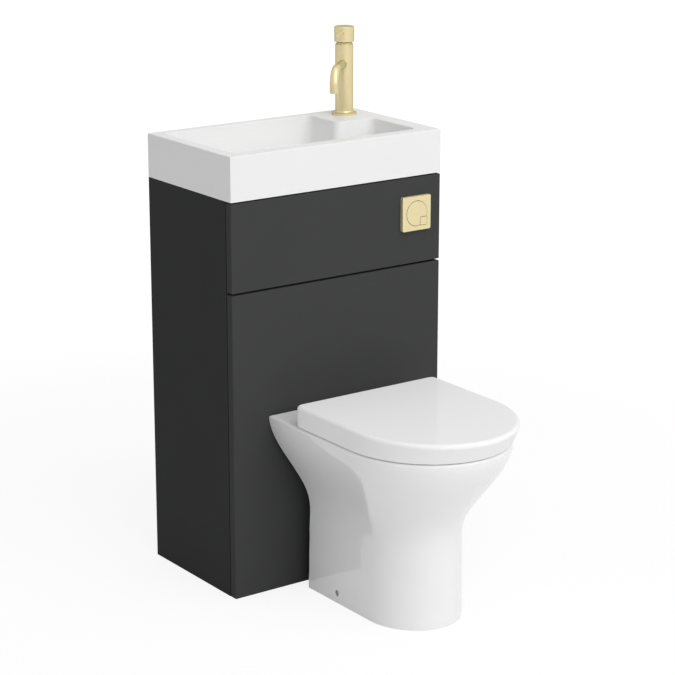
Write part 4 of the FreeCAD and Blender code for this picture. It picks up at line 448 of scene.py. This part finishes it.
# A rib's section: across in half widths, and outwards in rib heights
RIB_SECTION = [(-1.0, -0.3), (-0.6, 0.7), (0.0, 1.0), (0.6, 0.7), (1.0, -0.3)]
RIB_END = 0.25


def grip_ribs(name, place, radius, low, high, count, width, height, look):
    """Rounded finger ribs round a nut or a cup, as one mesh."""
    points = []
    faces = []
    for rib in range(count):
        turn = place @ Matrix.Rotation(2 * math.pi * rib / count, 4, "Z")
        rows = []
        for z, size in ((low, RIB_END), (low + height, 1.0), (high - height, 1.0), (high, RIB_END)):
            row = []
            for across, out in RIB_SECTION:
                rise = out if out < 0 else out * size
                row.append(turn @ Vector((radius + height * rise, width / 2 * across, z)))
            rows.append(row)
        rib_points, rib_faces = swept_tube(rows)
        start = len(points)
        points += rib_points
        faces += [tuple(start + index for index in face) for face in rib_faces]
    new_piece(name, mesh_from(name, points, faces), look)


def upright(x, y, z):
    return Matrix.Translation((x, y, z))


def along_wall_axis(x, y, z):
    """A frame whose own Z runs to the wall."""
    return Matrix.Translation((x, y, z)) @ Matrix.Rotation(-math.pi / 2, 4, "X")


def centre_of(node):
    low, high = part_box(node)
    return (low + high) / 2


FILL_THREAD_LENGTH = 0.025
THREADS = {
    "fill_shank_thread": {"radius": 0.01048, "pitch": 0.0018, "height": 0.0005, "look": "white_plastic"},
    "flush_tail_thread": {"radius": 0.030, "pitch": 0.0030, "height": 0.0009, "look": "white_plastic"},
    "waste_thread": {"radius": 0.0209, "pitch": 0.0023, "height": 0.0006, "look": "chrome"},
    "tap_stud_thread": {"radius": 0.004, "pitch": 0.00125, "height": 0.0004, "look": "steel"},
}
TRAP_RIBS = {"count": 24, "width": 0.003, "height": 0.0012, "look": "white_plastic"}
HOUSING_RIBS = {"count": 20, "width": 0.004, "height": 0.0014, "look": "black_plastic"}
TRAP_NUT_RADIUS = 0.030
RIB_MARGIN = 0.001
CUP_RIB_TOP = 0.002
CUP_RIB_BOTTOM = 0.022


def upright_thread(name, axis_node, bottom, span, start, plain):
    """A thread on a node's axis: of the span above bottom, start stays plain below and plain in all."""
    middle = centre_of(axis_node)
    thread(name, upright(middle.x, middle.y, bottom + start), span - plain, **THREADS[name])


def threads():
    fill_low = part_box("fill_valve")[0].z
    upright_thread("fill_shank_thread", "fill_valve", fill_low, FILL_THREAD_LENGTH, start=0.0008,
                   plain=0.0016)
    tail_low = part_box("flush_valve_body")[0].z
    tail_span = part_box("flush_valve_backnut")[0].z - tail_low
    upright_thread("flush_tail_thread", "flush_valve_backnut", tail_low, tail_span, start=0.0008,
                   plain=0.0012)
    trap_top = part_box("trap_nut")[1].z
    waste_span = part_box("waste_backnut")[0].z - trap_top
    upright_thread("waste_thread", "waste_body", trap_top, waste_span, start=0.001, plain=0.0015)
    stud_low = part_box("tap_stud")[0].z
    stud_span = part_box("tap_nut")[0].z - stud_low
    upright_thread("tap_stud_thread", "tap_stud", stud_low, stud_span, start=0.0005, plain=0.0008)


def ribs():
    middle = centre_of("trap_nut")
    trap_axis = upright(middle.x, middle.y, 0)
    low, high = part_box("trap_nut")
    grip_ribs("trap_nut_ribs", trap_axis, TRAP_NUT_RADIUS, low.z + RIB_MARGIN, high.z - RIB_MARGIN,
              **TRAP_RIBS)
    low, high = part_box("trap_cup")
    grip_ribs("trap_cup_ribs", trap_axis, (high.x - low.x) / 2, high.z - CUP_RIB_BOTTOM, high.z - CUP_RIB_TOP,
              **TRAP_RIBS)
    low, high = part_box("housing_nut")
    middle = centre_of("housing_nut")
    housing_axis = along_wall_axis(middle.x, low.y, middle.z)
    grip_ribs("housing_nut_ribs", housing_axis, (high.x - low.x) / 2, RIB_MARGIN, high.y - low.y - RIB_MARGIN,
              **HOUSING_RIBS)


threads()
ribs()


# Stage: floor, light and camera

WHITE_STRENGTH = 1.0
FILL_STRENGTH = 0.47


def seen_directly(tree):
    """1 for rays from the camera, from mirrors and through glass, 0 for light that falls on things."""
    path = tree.nodes.new("ShaderNodeLightPath")
    first = tree.nodes.new("ShaderNodeMath")
    first.operation = "MAXIMUM"
    second = tree.nodes.new("ShaderNodeMath")
    second.operation = "MAXIMUM"
    tree.links.new(path.outputs["Is Camera Ray"], first.inputs[0])
    tree.links.new(path.outputs["Is Glossy Ray"], first.inputs[1])
    tree.links.new(first.outputs["Value"], second.inputs[0])
    tree.links.new(path.outputs["Is Transmission Ray"], second.inputs[1])
    return second.outputs["Value"]


def white_world():
    """A white surround, which lights the object at a plain level."""
    world = bpy.data.worlds.new("white_studio")
    scene.world = world
    world.use_nodes = True
    tree = world.node_tree
    background = tree.nodes["Background"]
    background.inputs["Color"].default_value = (1, 1, 1, 1)
    strength = tree.nodes.new("ShaderNodeMapRange")
    strength.inputs["To Min"].default_value = FILL_STRENGTH
    strength.inputs["To Max"].default_value = WHITE_STRENGTH
    tree.links.new(seen_directly(tree), strength.inputs["Value"])
    tree.links.new(strength.outputs["Result"], background.inputs["Strength"])


FLOOR_REACH = 30.0
FLOOR_DROP = 0.0006
FLOOR_WHITE = (0.86, 0.86, 0.86, 1)
FLOOR_GLOW = 1.06
# The share of the shadow that shows near the object, and the distances between which it fades out
SHADOW_SHARE = 0.2
SHADOW_NEAR = 0.9
SHADOW_FAR = 2.4


def floor_material():
    """White that keeps a soft trace of the shadow near the object and is plain white further off."""
    material = bpy.data.materials.new("floor_white")
    material.use_nodes = True
    tree = material.node_tree
    tree.nodes.remove(tree.nodes["Principled BSDF"])
    diffuse = tree.nodes.new("ShaderNodeBsdfDiffuse")
    diffuse.inputs["Color"].default_value = FLOOR_WHITE
    glow = tree.nodes.new("ShaderNodeEmission")
    glow.inputs["Strength"].default_value = FLOOR_GLOW
    place = tree.nodes.new("ShaderNodeTexCoord")
    distance = tree.nodes.new("ShaderNodeVectorMath")
    distance.operation = "LENGTH"
    tree.links.new(place.outputs["Object"], distance.inputs[0])
    share = tree.nodes.new("ShaderNodeMapRange")
    share.interpolation_type = "SMOOTHSTEP"
    share.inputs["From Min"].default_value = SHADOW_NEAR
    share.inputs["From Max"].default_value = SHADOW_FAR
    share.inputs["To Min"].default_value = 1 - SHADOW_SHARE
    tree.links.new(distance.outputs["Value"], share.inputs["Value"])
    factor = tree.nodes.new("ShaderNodeMath")
    factor.operation = "MULTIPLY"
    tree.links.new(share.outputs["Result"], factor.inputs[0])
    tree.links.new(seen_directly(tree), factor.inputs[1])
    mix = tree.nodes.new("ShaderNodeMixShader")
    tree.links.new(factor.outputs["Value"], mix.inputs["Fac"])
    tree.links.new(diffuse.outputs["BSDF"], mix.inputs[1])
    tree.links.new(glow.outputs["Emission"], mix.inputs[2])
    tree.links.new(mix.outputs["Shader"], tree.nodes["Material Output"].inputs["Surface"])
    return material


def pale_floor():
    corners = [(x * FLOOR_REACH, y * FLOOR_REACH, 0) for x, y in ((-1, -1), (1, -1), (1, 1), (-1, 1))]
    mesh = mesh_from("floor", corners, [(0, 1, 2, 3)], smooth=False)
    mesh.transform(Matrix.Translation((0, 0, -FLOOR_DROP)))
    mesh.materials.append(floor_material())
    floor = bpy.data.objects.new("floor", mesh)
    scene.collection.objects.link(floor)


KEY_LAMP = {"place": (0.3, -6.1, 4.8), "target": (0.0, -0.35, 0.55), "width": 7.5, "power": 320.0}
TOP_LAMP = {"place": (0.2, -1.2, 6.0), "target": (0.0, -0.4, 0.5), "width": 4.0, "power": 45.0}


def soft_light(name, place, target, width, power):
    data = bpy.data.lights.new(name, "AREA")
    data.shape = "RECTANGLE"
    data.size = width
    data.size_y = width
    data.energy = power
    lamp = bpy.data.objects.new(name, data)
    scene.collection.objects.link(lamp)
    lamp.location = place
    lamp.rotation_euler = (Vector(target) - Vector(place)).to_track_quat("-Z", "Y").to_euler()


# The image is taken to be square with this many pixels a side.
IMAGE_PIXELS = 675
SENSOR_MM = 36.0
YAW = math.radians(35.522)
PITCH = math.radians(15.921)
FOCAL_PIXELS = 2220.4
CAMERA_PLACE = (-2.4605, -3.7424, 1.7050)
VIEW_REACH = 200.0


def camera():
    data = bpy.data.cameras.new("camera")
    data.sensor_width = SENSOR_MM
    data.lens = SENSOR_MM * FOCAL_PIXELS / IMAGE_PIXELS
    data.clip_end = VIEW_REACH
    obj = bpy.data.objects.new("camera", data)
    scene.collection.objects.link(obj)
    forward = Vector((math.sin(YAW) * math.cos(PITCH), math.cos(YAW) * math.cos(PITCH), -math.sin(PITCH)))
    right = Vector((math.cos(YAW), -math.sin(YAW), 0))
    up = right.cross(forward)
    turn = Matrix((right, up, -forward)).transposed().to_4x4()
    obj.matrix_world = Matrix.Translation(CAMERA_PLACE) @ turn
    scene.camera = obj


white_world()
pale_floor()
soft_light("key", **KEY_LAMP)
soft_light("top", **TOP_LAMP)
camera()
